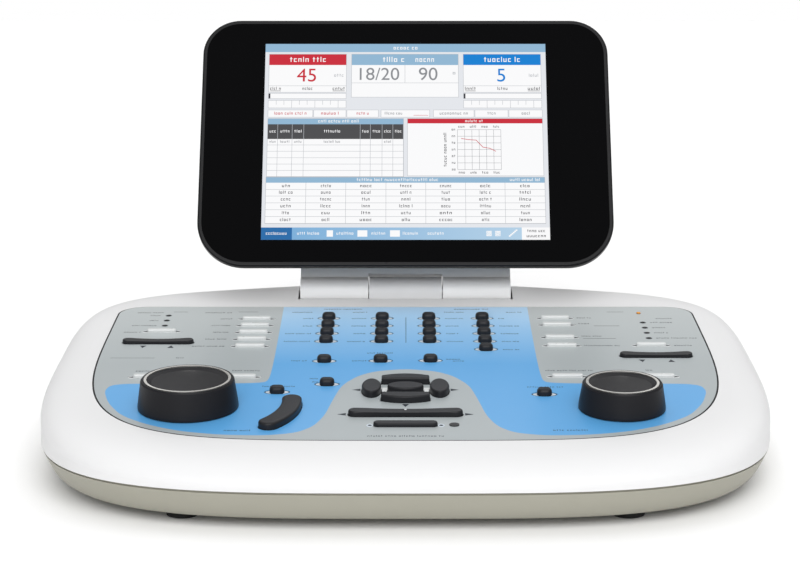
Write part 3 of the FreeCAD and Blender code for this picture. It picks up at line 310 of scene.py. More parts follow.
bpy.ops.mesh.primitive_plane_add(size=FLOOR_SIZE)
floor = bpy.context.active_object
floor.name = "floor"
floor.data.materials.append(moulded("floor_paper", (0.95, 0.95, 0.95), 0.9, cloud=0.004,
                                    grain=300, depth=0.02))
floor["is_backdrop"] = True
studio_light("front_light", 46, 8, 1.7, 50)
studio_light("low_light", 24, -6, 0.9, 30)
studio_light("back_light", 62, 170, 1.0, 70)
SURROUND_LIGHT = 0.36
SURROUND_SEEN = 1.0
world = bpy.data.worlds.new("surround")
world.use_nodes = True
surround = world.node_tree.nodes["Background"]
surround.inputs["Color"].default_value = (1, 1, 1, 1)
ray = world.node_tree.nodes.new("ShaderNodeLightPath")
strength = world.node_tree.nodes.new("ShaderNodeMapRange")
strength.inputs["To Min"].default_value = SURROUND_LIGHT
strength.inputs["To Max"].default_value = SURROUND_SEEN
world.node_tree.links.new(ray.outputs["Is Camera Ray"], strength.inputs["Value"])
world.node_tree.links.new(strength.outputs["Result"], surround.inputs["Strength"])
bpy.context.scene.world = world
bpy.context.scene.view_settings.view_transform = "Standard"
print("floor and lights set")

# %% [markdown]
# Small flat marks repeat hundreds of times, on the panel and on the screen. One cube serves them
# all: every bar, line and printed letter stroke is a copy of it, stretched to a thin tile and laid
# in place, and the tiles of one kind are joined into one piece. Other flat shapes start as a
# filled circle whose corners are moved to an outline and pulled up into a solid.

# %% Tiles and flat solids
def solid_from_face(piece, rise):
    """Pull a flat face up into a closed solid."""
    only(piece)
    bpy.ops.object.mode_set(mode="EDIT")
    bpy.ops.mesh.select_all(action="SELECT")
    bpy.ops.mesh.extrude_region_move(TRANSFORM_OT_translate={"value": (0, 0, rise)})
    bpy.ops.mesh.select_all(action="SELECT")
    bpy.ops.mesh.normals_make_consistent(inside=False)
    bpy.ops.object.mode_set(mode="OBJECT")


def flat_solid(points, low, high):
    """A flat outline of points (x, y), made a solid from height low to high."""
    bpy.ops.mesh.primitive_circle_add(vertices=len(points), radius=1, fill_type="NGON")
    piece = bpy.context.active_object
    for corner, (x, y) in zip(piece.data.vertices, points):
        corner.co = (x, y, low)
    solid_from_face(piece, high - low)
    return piece


def mesh_of(piece):
    """Keep a piece's mesh to copy from, and drop the piece itself."""
    mesh = piece.data.copy()
    bpy.data.objects.remove(piece)
    return mesh


def join(pieces, name):
    bpy.ops.object.select_all(action="DESELECT")
    for piece in pieces:
        piece.select_set(True)
    bpy.context.view_layer.objects.active = pieces[0]
    if len(pieces) > 1:
        bpy.ops.object.join()
    piece = bpy.context.active_object
    piece.name = name
    piece.data.name = name
    return piece


def copy_of(mesh, matrix):
    piece = bpy.data.objects.new("copy", mesh.copy())
    piece.data.transform(matrix)
    bpy.context.scene.collection.objects.link(piece)
    return piece


def copies(name, mesh, places, place):
    """One piece made of copies of a mesh at places (x, y) of the panel or the screen."""
    return join([copy_of(mesh, place @ Matrix.Translation((x, y, 0))) for x, y in places], name)


bpy.ops.mesh.primitive_cube_add(size=1)
TILE = mesh_of(bpy.context.active_object)


def tiles(name, bars, low, high, place):
    """One piece made of bars (x, y, width, depth), from height low to high, laid at a place."""
    made = []
    for x, y, width, depth in bars:
        stretch = Matrix.Diagonal((width, depth, high - low, 1))
        middle = Matrix.Translation((x, y, (low + high) / 2))
        made.append(copy_of(TILE, place @ middle @ stretch))
    return join(made, name)


def settle(piece, body, finish):
    """Give a new piece its finish and the body it rides on."""
    coat(piece, finish)
    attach(piece, body)


print("tile corners:", len(TILE.vertices))

# %% [markdown]
# Printed words say nothing here. Each letter is picked from six simple shapes of one to four
# strokes, and a word is stretched to the length it should fill. Strokes are (left, low, right,
# high) in letter heights, and most letters are SMALL high.

# %% Meaningless words
BAR = 0.16
SMALL = 0.7
LEFT_STROKE = (0, 0, BAR, SMALL)
RIGHT_STROKE = (0.42, 0, 0.42 + BAR, SMALL)
HIGH_STROKE = (0, SMALL - BAR, 0.5, SMALL)
LOW_STROKE = (0, 0, 0.5, BAR)
GLYPHS = (
    ((0, 0, BAR, 1.0),),
    (LEFT_STROKE, RIGHT_STROKE, HIGH_STROKE),
    (LEFT_STROKE, RIGHT_STROKE, LOW_STROKE),
    (LEFT_STROKE, RIGHT_STROKE, HIGH_STROKE, LOW_STROKE),
    (LEFT_STROKE, (0, SMALL - BAR, 0.52, SMALL), (0, 0, 0.52, BAR)),
    ((0.12, 0, 0.12 + BAR, 0.95), (0, SMALL - BAR, 0.42, SMALL)),
)
LETTER_GAP = 0.26
SPACE = 0.45
SPACE_SHARE = 0.3
SHORTEST_WORD = 3


def word(x, y, length, size, pick, align=0):
    """The strokes of a word of a given length.

    align -1 starts it at x, 0 centres it there and 1 ends it there."""
    strokes, reach, since_space = [], 0.0, 0
    while reach < length / size:
        glyph = pick.choice(GLYPHS)
        strokes += [(reach + a, b, reach + c, d) for a, b, c, d in glyph]
        end = reach + max(stroke[2] for stroke in glyph)
        since_space += 1
        spaced = since_space > SHORTEST_WORD and pick.random() < SPACE_SHARE
        since_space = 0 if spaced else since_space
        reach = end + LETTER_GAP + (SPACE if spaced else 0)
    scale = length / end
    left = x - length * (align + 1) / 2
    return [(left + (a + c) / 2 * scale, y + ((b + d) / 2 - SMALL / 2) * size,
             (c - a) * scale, (d - b) * size) for a, b, c, d in strokes]


print("letter shapes:", len(GLYPHS))

# %% [markdown]
# The control panel is a printed film. Its blue field runs from the rear edge down the middle and
# spreads under both dials; the rest is grey. Both colours grow paler towards the rear: a painted
# glare of the light from behind. Printing has crisp edges, so the film's mesh is cut in two along
# the edge of the field. A colour mask in one material would blur when it is baked. The dark seal
# round the film keeps its height at the rear and stands a hair higher at the front.

# %% The printed film
FIELD_HALF = ((0, 360), (90, 360), (89, 290), (88, 118), (93, 108), (180, 108), (191, 104),
              (193, 92), (187, 68), (176, 45), (158, 28), (137, 16), (112, 9.5), (85, 8),
              (66, 13), (56, 25), (50, 45), (46, 75), (42, 100), (38, 111), (31, 124), (20, 134),
              (0, 139))
CORNER_CUT = 0.2
ROUNDING_PASSES = 3
DOUBLES_WITHIN = 1e-6


def softened(points, passes):
    """Round an outline by cutting its corners again and again."""
    for _ in range(passes):
        cut = []
        for i, here in enumerate(points):
            there = points[(i + 1) % len(points)]
            for share in (CORNER_CUT, 1 - CORNER_CUT):
                cut.append((here[0] + (there[0] - here[0]) * share,
                            here[1] + (there[1] - here[1]) * share))
        points = cut
    return points


def node_copy(name, node):
    """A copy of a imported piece's mesh, with its doubles merged."""
    piece = bpy.data.objects.new(name, nodes[node].data.copy())
    bpy.context.scene.collection.objects.link(piece)
    only(piece)
    bpy.ops.object.mode_set(mode="EDIT")
    bpy.ops.mesh.select_all(action="SELECT")
    bpy.ops.mesh.remove_doubles(threshold=DOUBLES_WITHIN)
    bpy.ops.object.mode_set(mode="OBJECT")
    bpy.ops.mesh.customdata_custom_splitnormals_clear()
    return piece


def film_part(name, operation, cutter):
    """The film, cut by the blue field."""
    piece = node_copy(name, "control_overlay")
    cut = piece.modifiers.new("cut", "BOOLEAN")
    cut.operation = operation
    cut.object = cutter
    cut.solver = "EXACT"
    bpy.ops.object.modifier_apply(modifier="cut")
    bpy.ops.object.shade_flat()
    return piece


def blended(material, socket, axis, low, high, start, end):
    """Lead a colour socket from one colour to another along an axis of the object."""
    tree = material.node_tree
    place = tree.nodes.new("ShaderNodeTexCoord")
    split = tree.nodes.new("ShaderNodeSeparateXYZ")
    span = tree.nodes.new("ShaderNodeMapRange")
    span.inputs["From Min"].default_value = low
    span.inputs["From Max"].default_value = high
    blend = tree.nodes.new("ShaderNodeMix")
    blend.data_type = "RGBA"
    blend.inputs[MIX_FIRST].default_value = tuple(start) + (1,)
    blend.inputs[MIX_SECOND].default_value = tuple(end) + (1,)
    tree.links.new(place.outputs["Object"], split.inputs["Vector"])
    tree.links.new(split.outputs[axis], span.inputs["Value"])
    tree.links.new(span.outputs["Result"], blend.inputs[MIX_SHARE])
    tree.links.new(blend.outputs[MIX_RESULT], tree.nodes["Principled BSDF"].inputs[socket])
    return material


# Where the painted glare of the light from behind begins, and how far before the rear it is full.
PAINTED_GLARE_FROM = 0.15
PAINTED_GLARE_FULL_BEFORE_REAR = 0.005
FIELD_DEPTH = 5


def printed(name, front, rear):
    """A film finish that keeps its front colour at first and grows paler towards the rear: a painted glare of the
    light from behind, over the print's colour.
    """
    material = moulded(name, front, 0.36, cloud=0.0, grain=1500, depth=0.04, specular=0.4)
    return blended(material, "Base Color", "Y", overlay_low.y + PAINTED_GLARE_FROM,
                   overlay_high.y - PAINTED_GLARE_FULL_BEFORE_REAR, front, rear)


other_half = [(-x, y) for x, y in reversed(FIELD_HALF[1:-1])]
field = softened(list(FIELD_HALF) + other_half, ROUNDING_PASSES)
cutter = flat_solid(field, -FIELD_DEPTH, FIELD_DEPTH)
cutter.data.transform(PANEL)
blue_film = film_part("blue_film", "INTERSECT", cutter)
grey_film = film_part("grey_film", "DIFFERENCE", cutter)
bpy.data.objects.remove(cutter)
# Each film's print colour grows paler towards the rear, a painted glare of the light from behind.
BLUE_PRINT_AND_GLARE = printed("blue_print_and_glare", (0.095, 0.35, 0.68), (0.40, 0.63, 0.86))
GREY_PRINT_AND_GLARE = printed("grey_print_and_glare", (0.365, 0.40, 0.41), (0.45, 0.485, 0.49))
settle(blue_film, "base", BLUE_PRINT_AND_GLARE)
settle(grey_film, "base", GREY_PRINT_AND_GLARE)
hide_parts("control_overlay")
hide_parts("control_overlay")

SEAL_RISE = 0.28 * MM
seal = node_copy("raised_seal", "panel_seal")
rear_edge = Matrix.Translation((0, overlay_high.y, overlay_high.z))
lean = Matrix.Rotation(-SEAL_RISE / (overlay_high.y - overlay_low.y), 4, "X")
seal.data.transform(rear_edge @ lean @ rear_edge.inverted())
settle(seal, "base", FINISHES["seal"])
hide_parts("panel_seal")
print("film faces:", len(blue_film.data.polygons), len(grey_film.data.polygons))

# %% [markdown]
# Each small dark key stands in a pointed oval of pale silicone, ringed by a dark rim that is
# painted shade in the gap round the key. Each slim pale key stands in a long pale bar with round
# ends, a painted highlight on the rim of its opening, and a dark middle at the key's ends is painted
# shade inside the opening. The silicone ovals are the parts of the keypad mat that bend, and all of
# these ride with their keys. Each fits in its opening with a small gap, so that nothing touches when
# a key is pressed. Heights are measured from the film's face, so a low one is below zero.

# %% Skirts round the keys
KEY_COLUMNS = {"key_column_1": (-55.0, 4), "key_column_2": (-16.7, 4),
               "key_column_3": (16.7, 4), "key_column_4": (55.0, 5)}
COLUMN_TOP, COLUMN_PITCH = 258.0, 18.75
LONE_KEYS = {
    "talk_over_key": ((-50.8, 106.8),),
    "left_tone_key": ((-82.2, 90.8),),
    "right_tone_key": ((88.6, 86.2),),
    "select_keys": ((-54.5, 156.5), (-16.7, 157.0), (16.8, 157.5)),
}
SLIM_KEYS = {
    "left_slim_keys": ((-106.8, 256.2), (-106.8, 239.6), (-106.8, 223.0), (-106.8, 206.4),
                       (-106.8, 189.8), (-171.3, 225.0), (-168.0, 121.5), (-108.0, 121.5)),
    "right_slim_keys": ((107.4, 258.0), (107.4, 241.0), (107.4, 210.5), (107.4, 191.0),
                        (169.0, 192.0), (166.0, 122.5), (106.0, 122.5)),
}
OVAL_POINTS = 40
ROUND_END_STEPS = 12
SKIRT_LOW, GAP_SHADE_TOP, SKIRT_TOP, END_SHADE_TOP = -0.6, -0.3, -0.1, 0.0
GAP_SHADE_HALF, SKIRT_HALF = (8.25, 4.6), (7.4, 3.7)
SLIM_HIGHLIGHT_HALF, SLIM_END_SHADE_HALF = (13.6, 2.6), (13.3, 2.2)
END_SHADE_POINT = 0.1


def pointed_oval(half_x, half_y, point=0.25):
    """An oval's corners, drawn in a little towards its two ends."""
    turns = [2 * math.pi * i / OVAL_POINTS for i in range(OVAL_POINTS)]
    return [(half_x * math.cos(t), half_y * math.sin(t) * (1 - point * math.cos(t) ** 2))
            for t in turns]


def pill(half_x, half_y):
    """The corners of a bar with round ends."""
    reach = half_x - half_y
    turns = [math.pi * (i / ROUND_END_STEPS - 0.5) for i in range(ROUND_END_STEPS + 1)]
    right = [(reach + half_y * math.cos(t), half_y * math.sin(t)) for t in turns]
    return right + [(-x, -y) for x, y in right]


def key_places(name):
    if name in KEY_COLUMNS:
        x, count = KEY_COLUMNS[name]
        return [(x, COLUMN_TOP - COLUMN_PITCH * i) for i in range(count)]
    return LONE_KEYS[name]


# The dark finish is painted shade in the key openings here and dark print further on; the pearl finish is a
# painted highlight round the slim keys here and pale marks further on.
SKIRT_PALE = moulded("pale_skirt", (0.55, 0.62, 0.68), 0.4)
SHADE_AND_DARK_PRINT = moulded("shade_and_dark_print", (0.03, 0.04, 0.05), 0.5)
PALE_MARK_AND_HIGHLIGHT = moulded("pale_mark_and_highlight", (0.72, 0.74, 0.74), 0.3)
# The dark rim round each small key is painted shade in the gap round it.
round_gap_shade = mesh_of(flat_solid(pointed_oval(*GAP_SHADE_HALF), SKIRT_LOW, GAP_SHADE_TOP))
round_skirt = mesh_of(flat_solid(pointed_oval(*SKIRT_HALF), SKIRT_LOW, SKIRT_TOP))
slim_highlight_bar = mesh_of(flat_solid(pill(*SLIM_HIGHLIGHT_HALF), SKIRT_LOW, SKIRT_TOP))
slim_end_shade = mesh_of(flat_solid(pointed_oval(*SLIM_END_SHADE_HALF, END_SHADE_POINT), SKIRT_LOW, END_SHADE_TOP))
for name in list(KEY_COLUMNS) + list(LONE_KEYS):
    places = key_places(name)
    gap_shades = copies(name + "_rims", round_gap_shade, places, PANEL)
    settle(gap_shades, name + "_moving", SHADE_AND_DARK_PRINT)
    skirts = copies(name + "_skirts", round_skirt, places, PANEL)
    settle(skirts, name + "_moving", SKIRT_PALE)
# Round each slim key the pale bar is a painted highlight on the opening's rim, and the dark ends are painted shade
# inside it.
for name, places in SLIM_KEYS.items():
    skirts = copies(name + "_skirts", slim_highlight_bar, places, PANEL)
    settle(skirts, name + "_moving", PALE_MARK_AND_HIGHLIGHT)
    ends = copies(name + "_ends", slim_end_shade, places, PANEL)
    settle(ends, name + "_moving", SHADE_AND_DARK_PRINT)
print("skirts under", len(KEY_COLUMNS) + len(LONE_KEYS) + len(SLIM_KEYS), "nodes")

# %% [markdown]
# Legends are screen printed in dark grey beside the keys: on the left of the left-hand keys and
# on the right of the right-hand ones. A column of words has the place where its words start or
# end, and a word has the height and the length that it fills. Headings stand by themselves, each
# with its middle and its length, and lines are plain bars.

# %% Printed legends
INK = moulded("ink", (0.025, 0.03, 0.04), 0.5, specular=0.2)
INK_HIGH = 0.03
LETTER = 2.3
LED_ROWS_LEFT = (264.5, 252.0, 239.3)
LED_ROWS_RIGHT = (247.0, 234.2, 221.6, 208.9)
COLUMN_WORDS = {
    "key_column_1": (-66.2, (7, 6.5, 18, 18)),
    "key_column_2": (-28.3, (10, 10, 8, 12)),
    "key_column_3": (28.6, (12.6, 9, 8.4, 11)),
    "key_column_4": (66.7, (4, 13.6, 12.3, 11.6, 11)),
}
BELOW_KEY = 1
LEFT_SLIM_WORDS = (-124.5, (8, 13, 10.5, 14.5, 22))
RIGHT_SLIM_WORDS = (123, ((258.7, 10), (244, 7.7), (213.6, 13.5), (191.2, 24)))
LEFT_LED_WORDS = (-177, (7, 6, 17))
RIGHT_LED_WORDS = (174.5, (15.4, 9, 9.6, 28))
OUTER_SLIM_WORD = (-186, 223, 11.5)
HEADINGS = ((-184.8, 272, 18.5), (-135.5, 272, 19), (-173.5, 134, 9), (-105.5, 135, 18),
            (-102, 17, 16), (-45.5, 281, 27), (47.8, 281, 24.5), (-74.8, 273, 14.4),
            (-33, 273, 10), (35, 273, 14), (78.5, 273, 11), (-71.4, 156.6, 10.2),
            (-31, 156.6, 9.6), (-17.3, 174, 17.4), (32, 160, 9), (35.5, 156, 7),
            (-59.8, 118, 5.2), (-58.8, 111, 3.6), (-82, 102, 21), (108, 135.3, 31),
            (161, 136, 4.2), (90, 100.6, 23), (99.8, 17.4, 20.8), (0, 7, 46), (-152, 163, 5),
            (185.4, 257, 11.3), (190.7, 191.5, 11.8))
LINES = ((0.3, 229, 0.35, 62), (-163, 274, 10, 0.5), (-114, 274, 14, 0.5), (152, 274, 12, 0.5),
         (142.6, 238.8, 18, 0.5), (134.8, 208, 22.5, 0.5), (-184, 163, 30, 0.4),
         (176, 163, 30, 0.4))


def panel_words(pick):
    """The bars of every line and word of the panel, with letters drawn from pick."""
    bars = list(LINES)
    for name, (x, lengths) in COLUMN_WORDS.items():
        align = 1 if x < 0 else -1
        for (_, w), length in zip(key_places(name), lengths):
            bars += word(x, w - BELOW_KEY, length, LETTER, pick, align)
    x, lengths = LEFT_SLIM_WORDS
    for (_, w), length in zip(SLIM_KEYS["left_slim_keys"], lengths):
        bars += word(x, w, length, LETTER, pick, 1)
    x, rows = RIGHT_SLIM_WORDS
    for w, length in rows:
        bars += word(x, w, length, LETTER, pick, -1)
    x, lengths = LEFT_LED_WORDS
    for w, length in zip(LED_ROWS_LEFT, lengths):
        bars += word(x, w, length, LETTER, pick, 1)
    x, lengths = RIGHT_LED_WORDS
    for w, length in zip(LED_ROWS_RIGHT, lengths):
        bars += word(x, w, length, LETTER, pick, -1)
    x, w, length = OUTER_SLIM_WORD
    bars += word(x, w, length, LETTER, pick, 1)
    for x, w, length in HEADINGS:
        bars += word(x, w, length, LETTER, pick)
    return bars


legends = tiles("printed_legends", panel_words(random.Random(7)), 0.0, INK_HIGH, PANEL)
settle(legends, "base", INK)
print("legend faces:", len(legends.data.polygons))

# %% [markdown]
# Small triangles show which way the rockers and three of the arrow keys step. Seven status lenses
# sit in printed dark rings, and the lens of the mains light has an amber cap instead. A pale mark
# stands at each end of the talk bar, a pip in the middle of each rocker, and a pale patch in each
# gap between the arrow pad's middle key and its side keys.

# %% Arrows, lens rings and small marks
ARROWS = ((-180.2, 188.5, 180), (-161.0, 188.5, 0), (158.9, 156.8, 180), (178.4, 156.8, 0),
          (-39.6, 47.0, 90), (39.6, 47.0, -90), (-31.6, 95.0, 90), (31.6, 95.0, -90),
          (0, 64.0, 180))
ARROW_OUTLINE = ((-2.3, -2.6), (2.3, -2.6), (0, 2.8))
LENSES = [(-170.8, w) for w in LED_ROWS_LEFT] + [(169.3, w) for w in LED_ROWS_RIGHT]
MAINS_LENS = (168.7, 270.2)
TALK_ENDS = ((-21.8, 26.5), (21.8, 26.5))
TALK_MARK_HALF, TALK_DOT_HALF = (2.1, 2.9), (1.3, 1.3)
LENS_TOP = 0.3
LENS_RING_RADIUS = 2.3
CAP_RADIUS, CAP_HIGH = 1.5, 0.5
PIP_RADIUS, PIP_SUNK, PIP_PROUD = 0.8, 0.4, 0.15
ROCKER_PIPS = {"left_rocker": (-170.8, 198.5, 1.7), "right_rocker": (169.4, 167.5, 1.7),
               "centre_rocker": (0.0, 48.6, 2.6)}
DISC_POINTS = 24


def disc(radius):
    turns = [2 * math.pi * i / DISC_POINTS for i in range(DISC_POINTS)]
    return [(radius * math.cos(t), radius * math.sin(t)) for t in turns]


def turned_place(x, w, turn):
    """A place on the panel, turned by an angle."""
    return PANEL @ Matrix.Translation((x, w, 0)) @ Matrix.Rotation(turn, 4, "Z")


PAD_MIDDLE = 92.5
PAD_BUTTON_HALF = (11.6, 7.4)
PAD_SIDE_PLACE, PAD_SIDE_HALF = 21.8, (6.2, 13.5)
GAP_MARGIN = 0.6
GAP_REACH, GAP_STEP, GAP_COUNT = 6.9, 1.38, 11
GAP_STEPS = [-GAP_REACH + GAP_STEP * i for i in range(GAP_COUNT)]


def half_width(half, w):
    """How wide an oval of half sizes (x, y) is, from its middle, at height w."""
    return half[0] * math.sqrt(1 - (w / half[1]) ** 2)


def gap_outline():
    """The pale patch between the pad's middle key and its right-hand key."""
    inner = [half_width(PAD_BUTTON_HALF, w) + GAP_MARGIN for w in GAP_STEPS]
    outer = [PAD_SIDE_PLACE - half_width(PAD_SIDE_HALF, w) - GAP_MARGIN for w in GAP_STEPS]
    return list(zip(outer, GAP_STEPS)) + list(zip(inner, GAP_STEPS))[::-1]


arrow = mesh_of(flat_solid(ARROW_OUTLINE, 0.0, INK_HIGH))
arrows = [copy_of(arrow, turned_place(x, w, math.radians(turn))) for x, w, turn in ARROWS]
settle(join(arrows, "printed_arrows"), "base", INK)
lens_ring = mesh_of(flat_solid(disc(LENS_RING_RADIUS), 0.0, INK_HIGH))
settle(copies("lens_rings", lens_ring, LENSES, PANEL), "base", SHADE_AND_DARK_PRINT)
talk_mark = mesh_of(flat_solid(pointed_oval(*TALK_MARK_HALF), 0.0, INK_HIGH))
talk_dot = mesh_of(flat_solid(pointed_oval(*TALK_DOT_HALF), INK_HIGH, 2 * INK_HIGH))
settle(copies("talk_marks", talk_mark, TALK_ENDS, PANEL), "base", SKIRT_PALE)
settle(copies("talk_dots", talk_dot, TALK_ENDS, PANEL), "base", INK)
pad_gap = mesh_of(flat_solid(gap_outline(), 0.0, INK_HIGH))
gaps = [copy_of(pad_gap, turned_place(0, PAD_MIDDLE, turn)) for turn in (0, math.pi)]
settle(join(gaps, "pad_gaps"), "base", PALE_MARK_AND_HIGHLIGHT)
mains_cap = mesh_of(flat_solid(disc(CAP_RADIUS), LENS_TOP, LENS_TOP + CAP_HIGH))
AMBER = moulded("amber_cap", (0.80, 0.32, 0.02), 0.15, spread=0.03, depth=0.02)
settle(copies("mains_light_cap", mains_cap, (MAINS_LENS,), PANEL), "base", AMBER)
for name, (x, w, height) in ROCKER_PIPS.items():
    pip = flat_solid(disc(PIP_RADIUS), height - PIP_SUNK, height + PIP_PROUD)
    pip.data.transform(PANEL @ Matrix.Translation((x, w, 0)))
    pip.name = name + "_pip"
    settle(pip, name + "_moving", PALE_MARK_AND_HIGHLIGHT if name == "centre_rocker" else SHADE_AND_DARK_PRINT)
print("arrows:", len(ARROWS), "lens rings:", len(LENSES))

# %% [markdown]
# The screen is lit from inside, so its colours are light that the surface gives off. The page is
# built in six levels, each about a hundredth of a millimetre above the last: page, edges, boxes,
# headings, rules and print. Each colour of each level is one piece.

# %% Lit colours and page helpers
LIT_STRENGTH = 0.95
UNLIT_SHARE = 0.02
BAR_HALF = 0.09


def lit(name, colour):
    """A finish that gives off a colour and is nearly black by itself."""
    unlit = tuple(part * UNLIT_SHARE for part in colour)
    material = moulded(name, unlit, 0.25, cloud=0.0, depth=0.0, specular=0.04)
    shader = material.node_tree.nodes["Principled BSDF"]
    shader.inputs["Emission Color"].default_value = tuple(colour) + (1,)
    shader.inputs["Emission Strength"].default_value = LIT_STRENGTH
    return material


LIT = {
    "page": lit("lit_page", (0.79, 0.81, 0.85)),
    "white": lit("lit_white", (0.97, 0.97, 0.98)),
    "sky": lit("lit_sky", (0.29, 0.48, 0.66)),
    "bar": blended(lit("lit_bar", (0.2, 0.45, 0.72)), "Emission Color", "X", -BAR_HALF, BAR_HALF,
                   (0.20, 0.43, 0.70), (0.48, 0.66, 0.82)),
    "navy": lit("lit_navy", (0.022, 0.15, 0.40)),
    "red": lit("lit_red", (0.60, 0.025, 0.045)),
    "blue": lit("lit_blue", (0.005, 0.22, 0.66)),
    "coal": lit("lit_coal", (0.075, 0.075, 0.08)),
    "grey": lit("lit_grey", (0.26, 0.27, 0.29)),
    "rule": lit("lit_rule", (0.48, 0.50, 0.53)),
    "print": lit("lit_print", (0.05, 0.05, 0.06)),
}
PAGE, EDGE, BOX, HEAD, RULE, PRINT = range(6)
LAYER = 0.012
SHEET_LOW = -0.09
EDGE_WIDE = 0.3
page_pick = random.Random(11)
sheets = {}


def area(level, colour, left, right, low, high):
    """Add an area to the sheet of its level and colour, as a bar (x, y, width, depth)."""
    bar = ((left + right) / 2, (low + high) / 2, right - left, high - low)
    sheets.setdefault((level, colour), []).append(bar)


def framed(left, right, low, high, edge="rule"):
    """A white box with a thin edge."""
    area(EDGE, edge, left - EDGE_WIDE, right + EDGE_WIDE, low - EDGE_WIDE, high + EDGE_WIDE)
    area(BOX, "white", left, right, low, high)


def across(colour, left, right, y, thick=0.3):
    area(RULE, colour, left, right, y - thick / 2, y + thick / 2)


def upright(colour, x, low, high, thick=0.3):
    area(RULE, colour, x - thick / 2, x + thick / 2, low, high)


def says(colour, x, y, length, size):
    sheets.setdefault((PRINT, colour), []).extend(word(x, y, length, size, page_pick))


def says_upwards(colour, x, y, length, size):
    """The same word turned a quarter, so that it reads upwards."""
    strokes = word(0, 0, length, size, page_pick)
    turned = [(x - up, y + along, high, wide) for along, up, wide, high in strokes]
    sheets.setdefault((PRINT, colour), []).extend(turned)


print("lit colours:", len(LIT))

# %% [markdown]
# The page has a title strip, two channel boxes with a score box between them, a strip of settings,
# a results table, a graph, a table of short words and a status bar. Each area is given by its
# left, right, low and high edges in millimetres on the screen. The upper half comes first.

# %% Title strip, channel boxes and settings
HALF_PAGE = SCREEN_WIDTH / 2
TITLE_LOW = 151.6
HEAD_LOW, HEAD_MIDDLE, HEAD_HIGH = 140.8, 144.9, 149.7
CHANNEL_LOW, NAMES_MIDDLE, NAMES_HIGH = 118.4, 121.1, 123.6
LEFT_INSET, RIGHT_INSET = 5, 5.5
UNIT_MIDDLE = 132
HEAD_LETTER, NAME_LETTER = 4.2, 2.6
UNDERLINE_LOW, UNDERLINE_HIGH = 119.2, 119.6
SLIDER_LOW, SLIDER_HIGH = 113.2, 117.2
SLIDER_KNOB = 1.3
RULER_LOW, RULER_SHORT, RULER_HIGH = 105.6, 108.0, 111.4
RULER_STEPS, LONG_MARK_EVERY = 10, 3
SCORE_LEFT, SCORE_RIGHT, SCORE_LOW, SCORE_FOOT = -40.4, 39.6, 114.4, 126.0
SCORE_SPLIT = -0.4
SCORE_NAMES = ((-9, 16), (14.5, 14))
SETTINGS_LOW, SETTINGS_MIDDLE, SETTINGS_HIGH = 98.0, 100.8, 103.6
SETTINGS_GAP = 0.5
SETTINGS = ((-103, -68.9, 24), (-68.9, -44.1, 13), (-44.1, -19.9, 9), (-18.6, 18.4, 0),
            (20.5, 51.5, 21), (51.5, 76.9, 6), (76.9, 102.5, 6))

area(PAGE, "page", -HALF_PAGE, HALF_PAGE, 0, SCREEN_HEIGHT)
area(HEAD, "sky", -HALF_PAGE, HALF_PAGE, TITLE_LOW, SCREEN_HEIGHT)
says("white", 0, 154.8, 18, 3.0)


def channel_box(left, right, head):
    """A channel's heading, the unit word of its reading, three words, level slider and ruler."""
    middle = (left + right) / 2
    framed(left, right, CHANNEL_LOW, HEAD_HIGH)
    area(HEAD, head, left, right, HEAD_LOW, HEAD_HIGH)
    says("white", middle, HEAD_MIDDLE, 27, HEAD_LETTER)
    says("rule", right - RIGHT_INSET, UNIT_MIDDLE, 7, NAME_LETTER)
    across("rule", left, right, NAMES_HIGH)
    for x, length in ((left + LEFT_INSET, 8), (middle, 7.5), (right - RIGHT_INSET, 9)):
        says("coal", x, NAMES_MIDDLE, length, NAME_LETTER)
        if x != middle:
            area(RULE, "coal", x - length / 2, x + length / 2, UNDERLINE_LOW, UNDERLINE_HIGH)
    framed(left, right, SLIDER_LOW, SLIDER_HIGH)
    area(RULE, "print", left, left + SLIDER_KNOB, SLIDER_LOW, SLIDER_HIGH)
    framed(left, right, RULER_LOW, RULER_HIGH)
    for step in range(1, RULER_STEPS):
        x = left + (right - left) * step / RULER_STEPS
        upright("rule", x, RULER_SHORT if step % LONG_MARK_EVERY else RULER_LOW, RULER_HIGH)


channel_box(-102.5, -44.6, "red")
channel_box(43.6, 101.7, "blue")
framed(SCORE_LEFT, SCORE_RIGHT, SCORE_LOW, HEAD_HIGH)
area(HEAD, "sky", SCORE_LEFT, SCORE_RIGHT, HEAD_LOW, HEAD_HIGH)
for x, length in SCORE_NAMES:
    says("white", x, HEAD_MIDDLE, length, HEAD_LETTER)
across("rule", SCORE_LEFT, SCORE_RIGHT, SCORE_FOOT)
upright("rule", SCORE_SPLIT, SCORE_FOOT, HEAD_LOW)
says("rule", 36.5, 134, 2, 2.8)
for left, right, length in SETTINGS:
    framed(left + SETTINGS_GAP, right - SETTINGS_GAP, SETTINGS_LOW, SETTINGS_HIGH)
    if length:
        says("red" if right < 0 else "grey", (left + right) / 2, SETTINGS_MIDDLE, length, 2.4)
says("grey", -9, SETTINGS_MIDDLE, 13, 2.2)
across("red", 6, 17, 99.4)
print("upper half:", sum(len(bars) for bars in sheets.values()), "areas")

# %% [markdown]
# The results table has a dark row of column names over mostly empty rows, ruled by thin lines. The
# graph beside it is a square grid with short words on three sides and a label that reads upwards.

